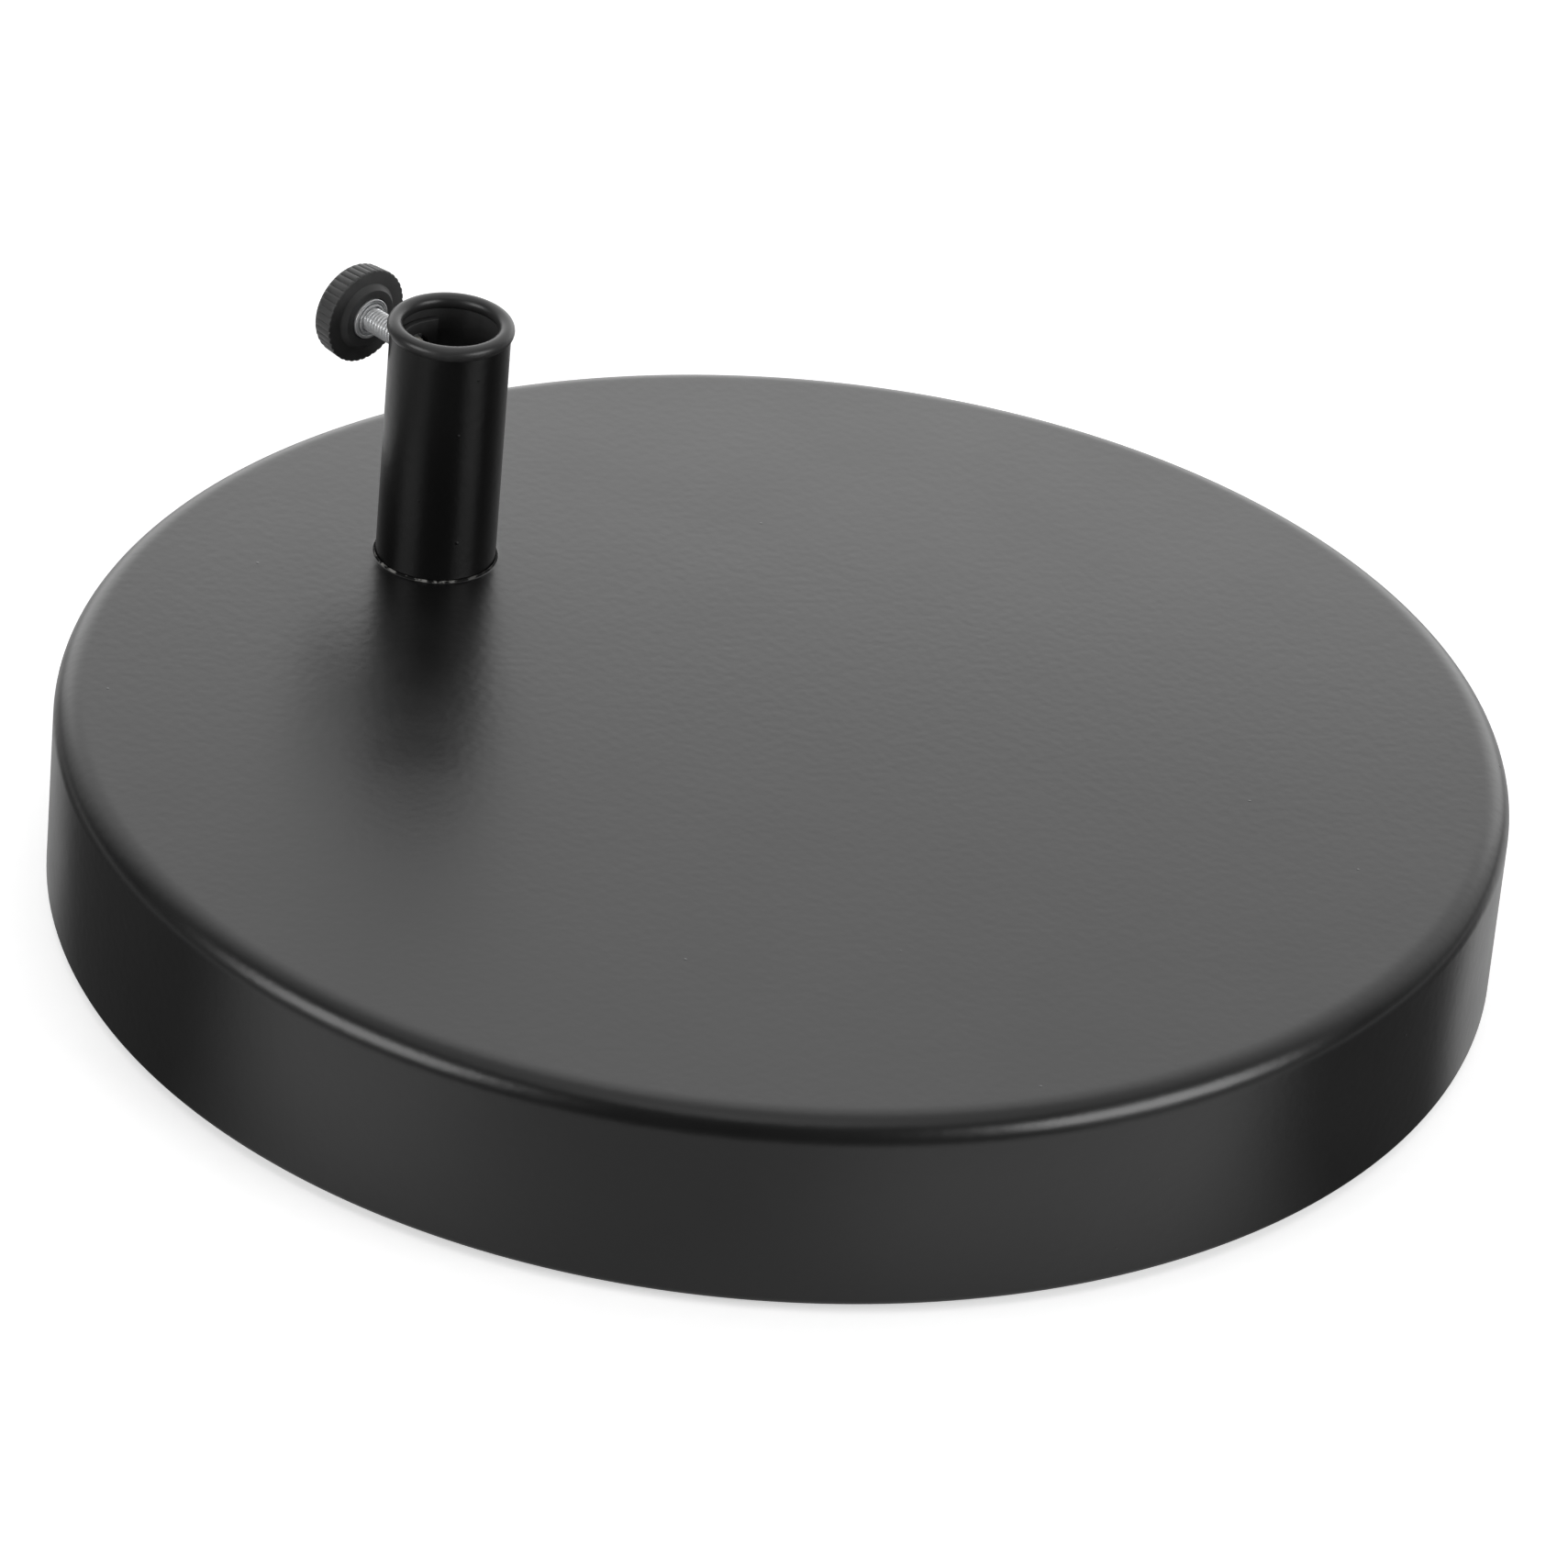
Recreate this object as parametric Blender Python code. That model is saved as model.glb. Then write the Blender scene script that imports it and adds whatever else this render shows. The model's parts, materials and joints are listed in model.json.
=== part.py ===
"""Parasol base: a round steel-covered concrete weight with a clamped pole socket.

The weight stands on rubber feet, centred on the Z axis with the ground at z = 0.
The pole socket stands behind the centre, on +Y, and its clamp screw points away from the centre.
"""
import math

import bmesh
import bpy

# Driving dimensions, in metres and radians
GAP = 0.0003                          # clearance between neighbouring pieces

BASE_RADIUS = 0.225                   # outer wall of the steel cover
COVER_HEIGHT = 0.064                  # hem underside to cover top
COVER_SHEET = 0.001
TOP_EDGE_RADIUS = 0.009               # drawn edge between cover top and wall
HEM_RADIUS = 0.0026                   # rolled edge at the foot of the wall
HEM_WIDTH = 0.011                     # from the wall to the end of the turned-in lip
BOTTOM_SHEET = 0.001
BASE_STEPS = 72
EDGE_STEPS = 4

FOOT_COUNT = 6
FOOT_INSET = 0.035                    # cover wall to a foot's centre
FOOT_RADIUS = 0.014
FOOT_PROUD = 0.0025                   # ground to hem underside
FOOT_EDGE = 0.001
FOOT_STEM_RADIUS = 0.004
FOOT_BARB_RADIUS = 0.0055
FOOT_BARB_HEIGHT = 0.003
FOOT_POCKET_ROOM = 0.0015             # room round and above a barb in the concrete
FOOT_STEPS = 16

TUBE_RADIUS = 0.019
TUBE_WALL = 0.0015
TUBE_INSET = 0.083                    # cover wall to tube axis
SOCKET_HEIGHT = 0.0835                # cover top to the top of the mouth ring
LIP_HEIGHT = 0.0012                   # drawn lip of the cover round the tube
LIP_WIDTH = 0.0012
TUBE_STEPS = 40

RING_PROUD = 0.001                    # mouth ring beyond the tube's outside
RING_OVERHANG = 0.0025                # mouth ring inside the tube's bore
RING_CROWN = 0.002                    # ring material above the tube's end
RING_STEPS = 12

FLANGE_RADIUS = 0.045
FLANGE_THICKNESS = 0.004
FLANGE_ROOM = 0.0015                  # room round the flange in the concrete
DRAIN_RADIUS = 0.004

BOLT_COUNT = 4
BOLT_CIRCLE = 0.033
BOLT_RADIUS = 0.004
BOLT_HEAD_FLATS = 0.013
BOLT_HEAD_HEIGHT = 0.0053
BOLT_LENGTH = 0.020
BOLT_HOLE_ROOM = 0.0005               # room round a bolt in the flange
WASHER_RADIUS = 0.008
WASHER_THICKNESS = 0.0016
ANCHOR_RADIUS = 0.006
ANCHOR_LENGTH = 0.020
BOLT_STEPS = 12

STOP_THICKNESS = 0.003
STOP_BOSS_RADIUS = 0.013
STOP_BOSS_HEIGHT = 0.003

CLAMP_AZIMUTH = math.radians(82.3)    # plan direction of the clamp screw
CLAMP_DROP = 0.0159                   # mouth to the screw axis
STUD_RADIUS = 0.004
STUD_SEAT_DEPTH = 0.004               # stud length inside the knob, behind its face
STUD_CHAMFER = 0.0006
STUD_STEPS = 20

TIP_PROUD = 0.0035                    # tip's front inside the tube's bore
TIP_RADIUS = 0.0028
TIP_THICKNESS = 0.002
TIP_EDGE = 0.0004
TIP_NECK_RADIUS = 0.0014
TIP_NECK_LENGTH = 0.0025
TIP_STEPS = 12

NUT_THICKNESS = 0.0022                # threaded plate welded inside the tube
NUT_HEIGHT = 0.016
NUT_SPAN = math.radians(56)
NUT_STEPS = 6

KNOB_STANDOFF = 0.0196                # tube wall to the knob's inner face
KNOB_THICKNESS = 0.008
KNOB_RADIUS = 0.0157
KNOB_EDGE = 0.0005
KNOB_TAPER = 0.0006                   # loss of radius along the grip
KNOB_BACK_EDGE = 0.0016               # rounding of the outer edge
KNOB_RIBS = 40
RIB_DEPTH = 0.00035
HUB_RADIUS = 0.011
HUB_TOP_RADIUS = 0.0095
HUB_HEIGHT = 0.0019

INSERT_RADIUS = 0.0067
INSERT_PROUD = 0.0026                 # insert face in front of the knob's inner face
INSERT_DEPTH = 0.0055                 # insert length behind the knob's inner face
INSERT_GROOVE = 0.0012                # width of the groove round the stud
INSERT_GROOVE_DEPTH = 0.0015

# Levels above the ground
HEM_Z = FOOT_PROUD
COVER_Z = HEM_Z + COVER_HEIGHT
MOUTH_Z = COVER_Z + SOCKET_HEIGHT
CLAMP_Z = MOUTH_Z - CLAMP_DROP
BOTTOM_Z = HEM_Z + COVER_SHEET + GAP
CORE_Z = BOTTOM_Z + BOTTOM_SHEET + GAP
CORE_TOP_Z = COVER_Z - COVER_SHEET - GAP
HEAD_TOP_Z = BOTTOM_Z + BOLT_HEAD_HEIGHT
WASHER_Z = HEAD_TOP_Z + GAP
FLANGE_Z = WASHER_Z + WASHER_THICKNESS + GAP
FLANGE_TOP_Z = FLANGE_Z + FLANGE_THICKNESS
SEAT_Z = FLANGE_TOP_Z + GAP           # foot of the tube, pole stop and anchors
TUBE_TOP_Z = MOUTH_Z - RING_CROWN - GAP

# Shared places and radii
FOOT_CIRCLE = BASE_RADIUS - FOOT_INSET
TUBE_OFFSET = BASE_RADIUS - TUBE_INSET
TUBE_BORE_RADIUS = TUBE_RADIUS - TUBE_WALL
TUBE_HOLE_RADIUS = TUBE_RADIUS + GAP
RING_RADIUS = TUBE_RADIUS + RING_PROUD
RING_BORE_RADIUS = TUBE_BORE_RADIUS - RING_OVERHANG
TIP_REACH = TUBE_BORE_RADIUS - TIP_PROUD
KNOB_REACH = TUBE_RADIUS + KNOB_STANDOFF
RECESS_RADIUS = FLANGE_RADIUS + FLANGE_ROOM
STUD_HOLE_RADIUS = STUD_RADIUS + GAP
CUT_PAST = 0.002                      # how far a cutter runs past the face it opens
MERGE_DISTANCE = 1e-7
SHARP_ANGLE = math.radians(30)


def clear_scene():
    for old in list(bpy.data.objects):
        bpy.data.objects.remove(old, do_unlink=True)


def make_material(name, colour, roughness, metallic):
    material = bpy.data.materials.new(name)
    material.use_nodes = True
    shader = material.node_tree.nodes["Principled BSDF"]
    shader.inputs["Base Color"].default_value = (*colour, 1.0)
    shader.inputs["Roughness"].default_value = roughness
    shader.inputs["Metallic"].default_value = metallic
    return material


def add_empty(name, location, rotation=(0.0, 0.0, 0.0)):
    empty = bpy.data.objects.new(name, None)
    empty.location = location
    empty.rotation_euler = rotation
    bpy.context.collection.objects.link(empty)
    return empty


def add_object(name, mesh, material=None, parent=None, location=(0.0, 0.0, 0.0), turn=0.0):
    body = bpy.data.objects.new(name, mesh)
    body.location = location
    body.rotation_euler = (0.0, 0.0, turn)
    body.parent = parent
    bpy.context.collection.objects.link(body)
    if material:
        mesh.materials.clear()
        mesh.materials.append(material)
    return body


def as_cutter(body):
    body.hide_render = True
    body.display_type = "WIRE"
    return body


def combine(body, tool, operation):
    modifier = body.modifiers.new(tool.name, "BOOLEAN")
    modifier.operation = operation
    modifier.solver = "EXACT"
    modifier.object = tool


def arc(centre, radius, start, end, steps):
    """Points of a round stretch in a (radius, height) outline; angles in degrees."""
    points = []
    for step in range(steps + 1):
        angle = math.radians(start + (end - start) * step / steps)
        points.append((centre[0] + radius * math.cos(angle), centre[1] + radius * math.sin(angle)))
    return points


def spin_outline(name, outline, steps, angle, closed):
    """Mesh of a (radius, height) outline turned about Z; closed joins its last point to its first."""
    mesh = bpy.data.meshes.new(name)
    bm = bmesh.new()
    verts = [bm.verts.new((radius, 0.0, height)) for radius, height in outline]
    for first, second in zip(verts, verts[1:]):
        bm.edges.new((first, second))
    if closed:
        bm.edges.new((verts[-1], verts[0]))
    full = math.isclose(angle, math.tau)
    geom = list(bm.verts) + list(bm.edges)
    bmesh.ops.spin(bm, geom=geom, cent=(0, 0, 0), axis=(0, 0, 1), angle=angle, steps=steps,
                   use_merge=full)
    if not full:
        bmesh.ops.holes_fill(bm, edges=[edge for edge in bm.edges if edge.is_boundary])
    bmesh.ops.remove_doubles(bm, verts=bm.verts, dist=MERGE_DISTANCE)
    cap_centres = [vert for vert in bm.verts if math.hypot(vert.co.x, vert.co.y) < GAP]
    bmesh.ops.dissolve_verts(bm, verts=cap_centres)
    bmesh.ops.recalc_face_normals(bm, faces=bm.faces)
    bm.to_mesh(mesh)
    bm.free()
    mesh.shade_smooth()
    mesh.set_sharp_from_angle(angle=SHARP_ANGLE)
    return mesh


def turned(name, outline, steps, closed=False):
    return spin_outline(name, outline, steps, math.tau, closed)


def reshape_rings(mesh, radius_at):
    """Gives each point of a turned mesh the radius that radius_at(radius, height, angle) returns."""
    for vert in mesh.vertices:
        radius = math.hypot(vert.co.x, vert.co.y)
        if radius < GAP:
            continue
        angle = math.atan2(vert.co.y, vert.co.x)
        scale = radius_at(radius, vert.co.z, angle) / radius
        vert.co.x *= scale
        vert.co.y *= scale


def cylinder_outline(radius, low, high):
    return [(0.0, high), (radius, high), (radius, low), (0.0, low)]


def sleeve_outline(bore, radius, low, high):
    return [(radius, high), (radius, low), (bore, low), (bore, high)]


def add_cutter(name, radius, low, high, steps, parent=None, location=(0.0, 0.0, 0.0)):
    mesh = turned(name, cylinder_outline(radius, low, high), steps)
    return as_cutter(add_object(name, mesh, None, parent, location))


def on_circle(count, radius, first=0.0):
    places = []
    for index in range(count):
        angle = first + math.tau * index / count
        places.append((radius * math.cos(angle), radius * math.sin(angle)))
    return places


def foot_places():
    return on_circle(FOOT_COUNT, FOOT_CIRCLE)


def bolt_places():
    return on_circle(BOLT_COUNT, BOLT_CIRCLE, math.pi / BOLT_COUNT)


def steel_cover(paint, socket):
    """Spun sheet cover: flat top, drawn edge, straight wall, and a hem turned in under the bottom plate."""
    top_inner = max(TOP_EDGE_RADIUS - COVER_SHEET, GAP)
    hem_inner = max(HEM_RADIUS - COVER_SHEET, GAP)
    top_centre = (BASE_RADIUS - TOP_EDGE_RADIUS, COVER_Z - TOP_EDGE_RADIUS)
    hem_centre = (BASE_RADIUS - HEM_RADIUS, HEM_Z + HEM_RADIUS)
    lip_end = BASE_RADIUS - HEM_WIDTH
    outline = [(0.0, COVER_Z)]
    outline += arc(top_centre, TOP_EDGE_RADIUS, 90, 0, EDGE_STEPS)
    outline += arc(hem_centre, HEM_RADIUS, 0, -90, EDGE_STEPS // 2)
    outline += [(lip_end, HEM_Z), (lip_end, HEM_Z + COVER_SHEET)]
    outline += arc(hem_centre, hem_inner, -90, 0, EDGE_STEPS // 2)
    outline += arc(top_centre, top_inner, 0, 90, EDGE_STEPS)
    outline += [(0.0, COVER_Z - COVER_SHEET)]
    cover = add_object("steel_cover", turned("steel_cover", outline, BASE_STEPS), paint)

    lip_foot = TUBE_HOLE_RADIUS + LIP_WIDTH
    lip_outline = [
        (TUBE_RADIUS - TUBE_WALL, COVER_Z + LIP_HEIGHT),
        (TUBE_HOLE_RADIUS + LIP_WIDTH / 4, COVER_Z + LIP_HEIGHT),
        (TUBE_HOLE_RADIUS + LIP_WIDTH * 3 / 4, COVER_Z + LIP_HEIGHT / 2),
        (lip_foot, COVER_Z),
        (lip_foot, COVER_Z - COVER_SHEET / 2),
        (TUBE_RADIUS - TUBE_WALL, COVER_Z - COVER_SHEET / 2),
    ]
    lip_mesh = turned("cover_lip", lip_outline, TUBE_STEPS, closed=True)
    lip = as_cutter(add_object("cover_lip", lip_mesh, None, socket))
    hole = add_cutter("cover_hole", TUBE_HOLE_RADIUS, CORE_TOP_Z - CUT_PAST, COVER_Z + LIP_HEIGHT + CUT_PAST,
                      TUBE_STEPS, socket)
    combine(cover, lip, "UNION")
    combine(cover, hole, "DIFFERENCE")


def concrete_core(concrete, socket):
    """Cast weight inside the cover, with the tube's well, the flange recess and pockets for the fixings."""
    radius = BASE_RADIUS - COVER_SHEET - GAP
    edge = max(TOP_EDGE_RADIUS - COVER_SHEET - GAP, GAP)
    outline = [(0.0, CORE_TOP_Z)]
    outline += arc((radius - edge, CORE_TOP_Z - edge), edge, 90, 0, EDGE_STEPS // 2)
    outline += [(radius, CORE_Z), (0.0, CORE_Z)]
    core = add_object("concrete_core", turned("concrete_core", outline, BASE_STEPS), concrete)

    recess = add_cutter("flange_recess", RECESS_RADIUS, CORE_Z - CUT_PAST, SEAT_Z, TUBE_STEPS, socket)
    well = add_cutter("tube_well", TUBE_HOLE_RADIUS, SEAT_Z - CUT_PAST, CORE_TOP_Z + CUT_PAST, TUBE_STEPS,
                      socket)
    combine(core, recess, "DIFFERENCE")
    combine(core, well, "DIFFERENCE")
    for number, place in enumerate(bolt_places(), 1):
        pocket = add_cutter(f"anchor_pocket_{number}", ANCHOR_RADIUS + GAP, SEAT_Z - CUT_PAST,
                            SEAT_Z + ANCHOR_LENGTH + GAP, BOLT_STEPS, socket, (*place, 0.0))
        combine(core, pocket, "DIFFERENCE")
    pocket_radius = FOOT_BARB_RADIUS + FOOT_POCKET_ROOM
    pocket_top = CORE_Z + GAP + FOOT_BARB_HEIGHT + FOOT_POCKET_ROOM
    for number, place in enumerate(foot_places(), 1):
        pocket = add_cutter(f"foot_pocket_{number}", pocket_radius, CORE_Z - CUT_PAST, pocket_top,
                            FOOT_STEPS, None, (*place, 0.0))
        combine(core, pocket, "DIFFERENCE")


def bottom_plate(zinc, socket):
    """Sheet disc held up against the concrete by the cover's hem, open under the tube flange."""
    radius = BASE_RADIUS - HEM_RADIUS
    low = BOTTOM_Z
    high = BOTTOM_Z + BOTTOM_SHEET
    mesh = turned("bottom_plate", cylinder_outline(radius, low, high), BASE_STEPS)
    plate = add_object("bottom_plate", mesh, zinc)
    opening = add_cutter("plate_opening", RECESS_RADIUS, low - CUT_PAST, high + CUT_PAST, TUBE_STEPS, socket)
    combine(plate, opening, "DIFFERENCE")
    for number, place in enumerate(foot_places(), 1):
        hole = add_cutter(f"foot_hole_{number}", FOOT_STEM_RADIUS + GAP, low - CUT_PAST, high + CUT_PAST,
                          FOOT_STEPS, None, (*place, 0.0))
        combine(plate, hole, "DIFFERENCE")


def rubber_feet(rubber):
    """Push-in buttons: a pad under the plate, a stem through it and a barb above it."""
    pad_top = BOTTOM_Z - GAP
    barb_low = BOTTOM_Z + BOTTOM_SHEET + GAP
    barb_high = barb_low + FOOT_BARB_HEIGHT
    outline = [
        (0.0, barb_high),
        (FOOT_STEM_RADIUS, barb_high),
        (FOOT_BARB_RADIUS, barb_low),
        (FOOT_STEM_RADIUS, barb_low),
        (FOOT_STEM_RADIUS, pad_top),
        (FOOT_RADIUS - FOOT_EDGE, pad_top),
        (FOOT_RADIUS, pad_top - FOOT_EDGE),
        (FOOT_RADIUS, FOOT_EDGE),
        (FOOT_RADIUS - FOOT_EDGE, 0.0),
        (0.0, 0.0),
    ]
    mesh = turned("foot", outline, FOOT_STEPS)
    for number, place in enumerate(foot_places(), 1):
        add_object(f"foot_{number}", mesh, rubber, None, (*place, 0.0))


def socket_tube(paint, socket, stud_hole):
    outline = sleeve_outline(TUBE_BORE_RADIUS, TUBE_RADIUS, SEAT_Z, TUBE_TOP_Z)
    tube = add_object("socket_tube", turned("socket_tube", outline, TUBE_STEPS, closed=True), paint, socket)
    combine(tube, stud_hole, "DIFFERENCE")


def mouth_ring(plastic, socket):
    """Moulded bead pressed over the tube's end, proud of the tube inside and out."""
    bead = (RING_RADIUS - RING_BORE_RADIUS) / 2
    centre = ((RING_RADIUS + RING_BORE_RADIUS) / 2, MOUTH_Z - bead)
    outer = TUBE_RADIUS + GAP
    inner = TUBE_BORE_RADIUS - GAP
    outer_end = -math.degrees(math.acos((outer - centre[0]) / bead))
    inner_end = 180 + math.degrees(math.acos((centre[0] - inner) / bead))
    outline = arc(centre, bead, inner_end, 90, RING_STEPS // 2)
    outline += arc(centre, bead, 90, outer_end, RING_STEPS // 2)[1:]
    outline += [(outer, MOUTH_Z - RING_CROWN), (inner, MOUTH_Z - RING_CROWN)]
    add_object("mouth_ring", turned("mouth_ring", outline, TUBE_STEPS, closed=True), plastic, socket)


def tube_flange(paint, socket):
    """Round foot plate of the tube, bolted up into the concrete, with a drain hole under the pole."""
    outline = sleeve_outline(DRAIN_RADIUS, FLANGE_RADIUS, FLANGE_Z, FLANGE_TOP_Z)
    flange = add_object("tube_flange", turned("tube_flange", outline, TUBE_STEPS, closed=True), paint, socket)
    for number, place in enumerate(bolt_places(), 1):
        hole = add_cutter(f"flange_hole_{number}", BOLT_RADIUS + BOLT_HOLE_ROOM, FLANGE_Z - CUT_PAST,
                          FLANGE_TOP_Z + CUT_PAST, BOLT_STEPS, socket, (*place, 0.0))
        combine(flange, hole, "DIFFERENCE")


def flange_bolts(zinc, socket):
    """Hexagon bolts, their washers, and the threaded anchors cast into the concrete."""
    bolt_outline = [
        (0.0, HEAD_TOP_Z + BOLT_LENGTH),
        (BOLT_RADIUS - STUD_CHAMFER, HEAD_TOP_Z + BOLT_LENGTH),
        (BOLT_RADIUS, HEAD_TOP_Z + BOLT_LENGTH - STUD_CHAMFER),
        (BOLT_RADIUS, HEAD_TOP_Z),
        (BOLT_HEAD_FLATS / 2, HEAD_TOP_Z),
        (BOLT_HEAD_FLATS / 2, BOTTOM_Z),
        (0.0, BOTTOM_Z),
    ]
    bolt_mesh = turned("flange_bolt", bolt_outline, BOLT_STEPS)

    def hexagon(radius, height, angle):
        if radius < BOLT_HEAD_FLATS / 2 - GAP:
            return radius
        side = math.pi / 3
        return radius / math.cos((angle + side / 2) % side - side / 2)

    reshape_rings(bolt_mesh, hexagon)
    washer_outline = sleeve_outline(BOLT_RADIUS + GAP, WASHER_RADIUS, WASHER_Z, WASHER_Z + WASHER_THICKNESS)
    washer_mesh = turned("flange_washer", washer_outline, BOLT_STEPS, closed=True)
    anchor_outline = sleeve_outline(BOLT_RADIUS + GAP, ANCHOR_RADIUS, SEAT_Z, SEAT_Z + ANCHOR_LENGTH)
    anchor_mesh = turned("flange_anchor", anchor_outline, BOLT_STEPS, closed=True)
    for number, place in enumerate(bolt_places(), 1):
        location = (*place, 0.0)
        add_object(f"flange_bolt_{number}", bolt_mesh, zinc, socket, location)
        add_object(f"flange_washer_{number}", washer_mesh, zinc, socket, location)
        add_object(f"flange_anchor_{number}", anchor_mesh, zinc, socket, location)


def pole_stop(plastic, socket):
    """Moulded floor of the socket, on the flange, with a raised seat for the pole and a drain hole."""
    rim = TUBE_BORE_RADIUS - GAP
    step_z = SEAT_Z + STOP_THICKNESS
    top = step_z + STOP_BOSS_HEIGHT
    outline = [
        (STOP_BOSS_RADIUS, top),
        (STOP_BOSS_RADIUS, step_z),
        (rim, step_z),
        (rim, SEAT_Z),
        (DRAIN_RADIUS, SEAT_Z),
        (DRAIN_RADIUS, top),
    ]
    add_object("pole_stop", turned("pole_stop", outline, TUBE_STEPS, closed=True), plastic, socket)


def clamp_nut(paint, socket, stud_hole):
    """Curved plate welded inside the tube, threaded for the clamp screw."""
    outer = TUBE_BORE_RADIUS - GAP
    low = CLAMP_Z - NUT_HEIGHT / 2
    outline = sleeve_outline(outer - NUT_THICKNESS, outer, low, low + NUT_HEIGHT)
    mesh = spin_outline("clamp_nut", outline, NUT_STEPS, NUT_SPAN, closed=True)
    nut = add_object("clamp_nut", mesh, paint, socket, turn=CLAMP_AZIMUTH - NUT_SPAN / 2)
    combine(nut, stud_hole, "DIFFERENCE")


def clamp_tip(nylon, clamp):
    """Swivel tip on the end of the stud; its front presses on the pole without turning."""
    back = TIP_REACH + TIP_THICKNESS
    outline = [
        (0.0, back + TIP_NECK_LENGTH),
        (TIP_NECK_RADIUS, back + TIP_NECK_LENGTH),
        (TIP_NECK_RADIUS, back),
        (TIP_RADIUS, back),
        (TIP_RADIUS, TIP_REACH + TIP_EDGE),
        (TIP_RADIUS - TIP_EDGE, TIP_REACH),
        (0.0, TIP_REACH),
    ]
    add_object("clamp_tip", turned("clamp_tip", outline, TIP_STEPS), nylon, clamp)


def clamp_stud(zinc, clamp):
    """Threaded stud from the tip into the knob's insert, bored at its end for the tip's neck."""
    end = TIP_REACH + TIP_THICKNESS + GAP
    bore = TIP_NECK_RADIUS + GAP
    outline = [
        (0.0, KNOB_REACH + STUD_SEAT_DEPTH),
        (STUD_RADIUS, KNOB_REACH + STUD_SEAT_DEPTH),
        (STUD_RADIUS, end + STUD_CHAMFER),
        (STUD_RADIUS - STUD_CHAMFER, end),
        (bore, end),
        (bore, end + TIP_NECK_LENGTH + GAP),
        (0.0, end + TIP_NECK_LENGTH + GAP),
    ]
    add_object("clamp_stud", turned("clamp_stud", outline, STUD_STEPS), zinc, clamp)


def knob_insert(zinc, clamp):
    """Metal bush moulded into the knob round the stud, with a groove in its face."""
    face = KNOB_REACH - INSERT_PROUD
    back = KNOB_REACH + INSERT_DEPTH
    bore = STUD_RADIUS + GAP
    outline = [
        (0.0, back),
        (INSERT_RADIUS, back),
        (INSERT_RADIUS, face),
        (bore + INSERT_GROOVE, face),
        (bore + INSERT_GROOVE, face + INSERT_GROOVE_DEPTH),
        (bore, face + INSERT_GROOVE_DEPTH),
        (bore, KNOB_REACH + STUD_SEAT_DEPTH + GAP),
        (0.0, KNOB_REACH + STUD_SEAT_DEPTH + GAP),
    ]
    add_object("knob_insert", turned("knob_insert", outline, STUD_STEPS), zinc, clamp)


def clamp_knob(plastic, clamp):
    """Ribbed hand knob with a conical hub on its inner face and a pocket for the insert."""
    face = KNOB_REACH
    back = KNOB_REACH + KNOB_THICKNESS
    grip_end = KNOB_RADIUS - KNOB_TAPER
    pocket = INSERT_RADIUS + GAP
    pocket_end = KNOB_REACH + INSERT_DEPTH + GAP
    outline = [(0.0, back)]
    outline += arc((grip_end - KNOB_BACK_EDGE, back - KNOB_BACK_EDGE), KNOB_BACK_EDGE, 90, 0, EDGE_STEPS // 2)
    outline += [
        (KNOB_RADIUS, face + KNOB_EDGE),
        (KNOB_RADIUS - KNOB_EDGE, face),
        (HUB_RADIUS, face),
        (HUB_TOP_RADIUS, face - HUB_HEIGHT),
        (pocket, face - HUB_HEIGHT),
        (pocket, pocket_end),
        (0.0, pocket_end),
    ]
    mesh = turned("clamp_knob", outline, KNOB_RIBS * 2)
    grip_root = grip_end - KNOB_BACK_EDGE / 2

    def ribbed(radius, height, angle):
        valley = round(angle * KNOB_RIBS / math.pi) % 2
        return radius - RIB_DEPTH if valley and radius > grip_root else radius

    reshape_rings(mesh, ribbed)
    add_object("clamp_knob", mesh, plastic, clamp)


def main():
    clear_scene()
    black_paint = make_material("black_powder_coat", (0.012, 0.012, 0.012), 0.42, 0.0)
    black_plastic = make_material("black_moulded_plastic", (0.018, 0.018, 0.018), 0.5, 0.0)
    black_rubber = make_material("black_rubber", (0.02, 0.02, 0.02), 0.8, 0.0)
    grey_concrete = make_material("cast_concrete", (0.33, 0.32, 0.3), 0.9, 0.0)
    zinc_plate = make_material("zinc_plated_steel", (0.62, 0.62, 0.63), 0.32, 1.0)
    white_nylon = make_material("white_nylon", (0.75, 0.74, 0.7), 0.45, 0.0)

    socket = add_empty("socket_axis", (0.0, TUBE_OFFSET, 0.0))
    clamp = add_empty("clamp_axis", (0.0, TUBE_OFFSET, CLAMP_Z), (0.0, math.pi / 2, CLAMP_AZIMUTH))
    stud_hole = add_cutter("stud_hole", STUD_HOLE_RADIUS, TUBE_BORE_RADIUS - NUT_THICKNESS - CUT_PAST,
                           TUBE_RADIUS + CUT_PAST, STUD_STEPS, clamp)

    steel_cover(black_paint, socket)
    concrete_core(grey_concrete, socket)
    bottom_plate(zinc_plate, socket)
    rubber_feet(black_rubber)
    socket_tube(black_paint, socket, stud_hole)
    mouth_ring(black_plastic, socket)
    tube_flange(black_paint, socket)
    flange_bolts(zinc_plate, socket)
    pole_stop(black_plastic, socket)
    clamp_nut(black_paint, socket, stud_hole)
    clamp_tip(white_nylon, clamp)
    clamp_stud(zinc_plate, clamp)
    knob_insert(zinc_plate, clamp)
    clamp_knob(black_plastic, clamp)


main()
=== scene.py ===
"""Parasol base: smooth, finished pieces, materials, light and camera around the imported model."""
import json
import math

import bmesh
import bpy
from mathutils import Matrix, Vector


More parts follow.
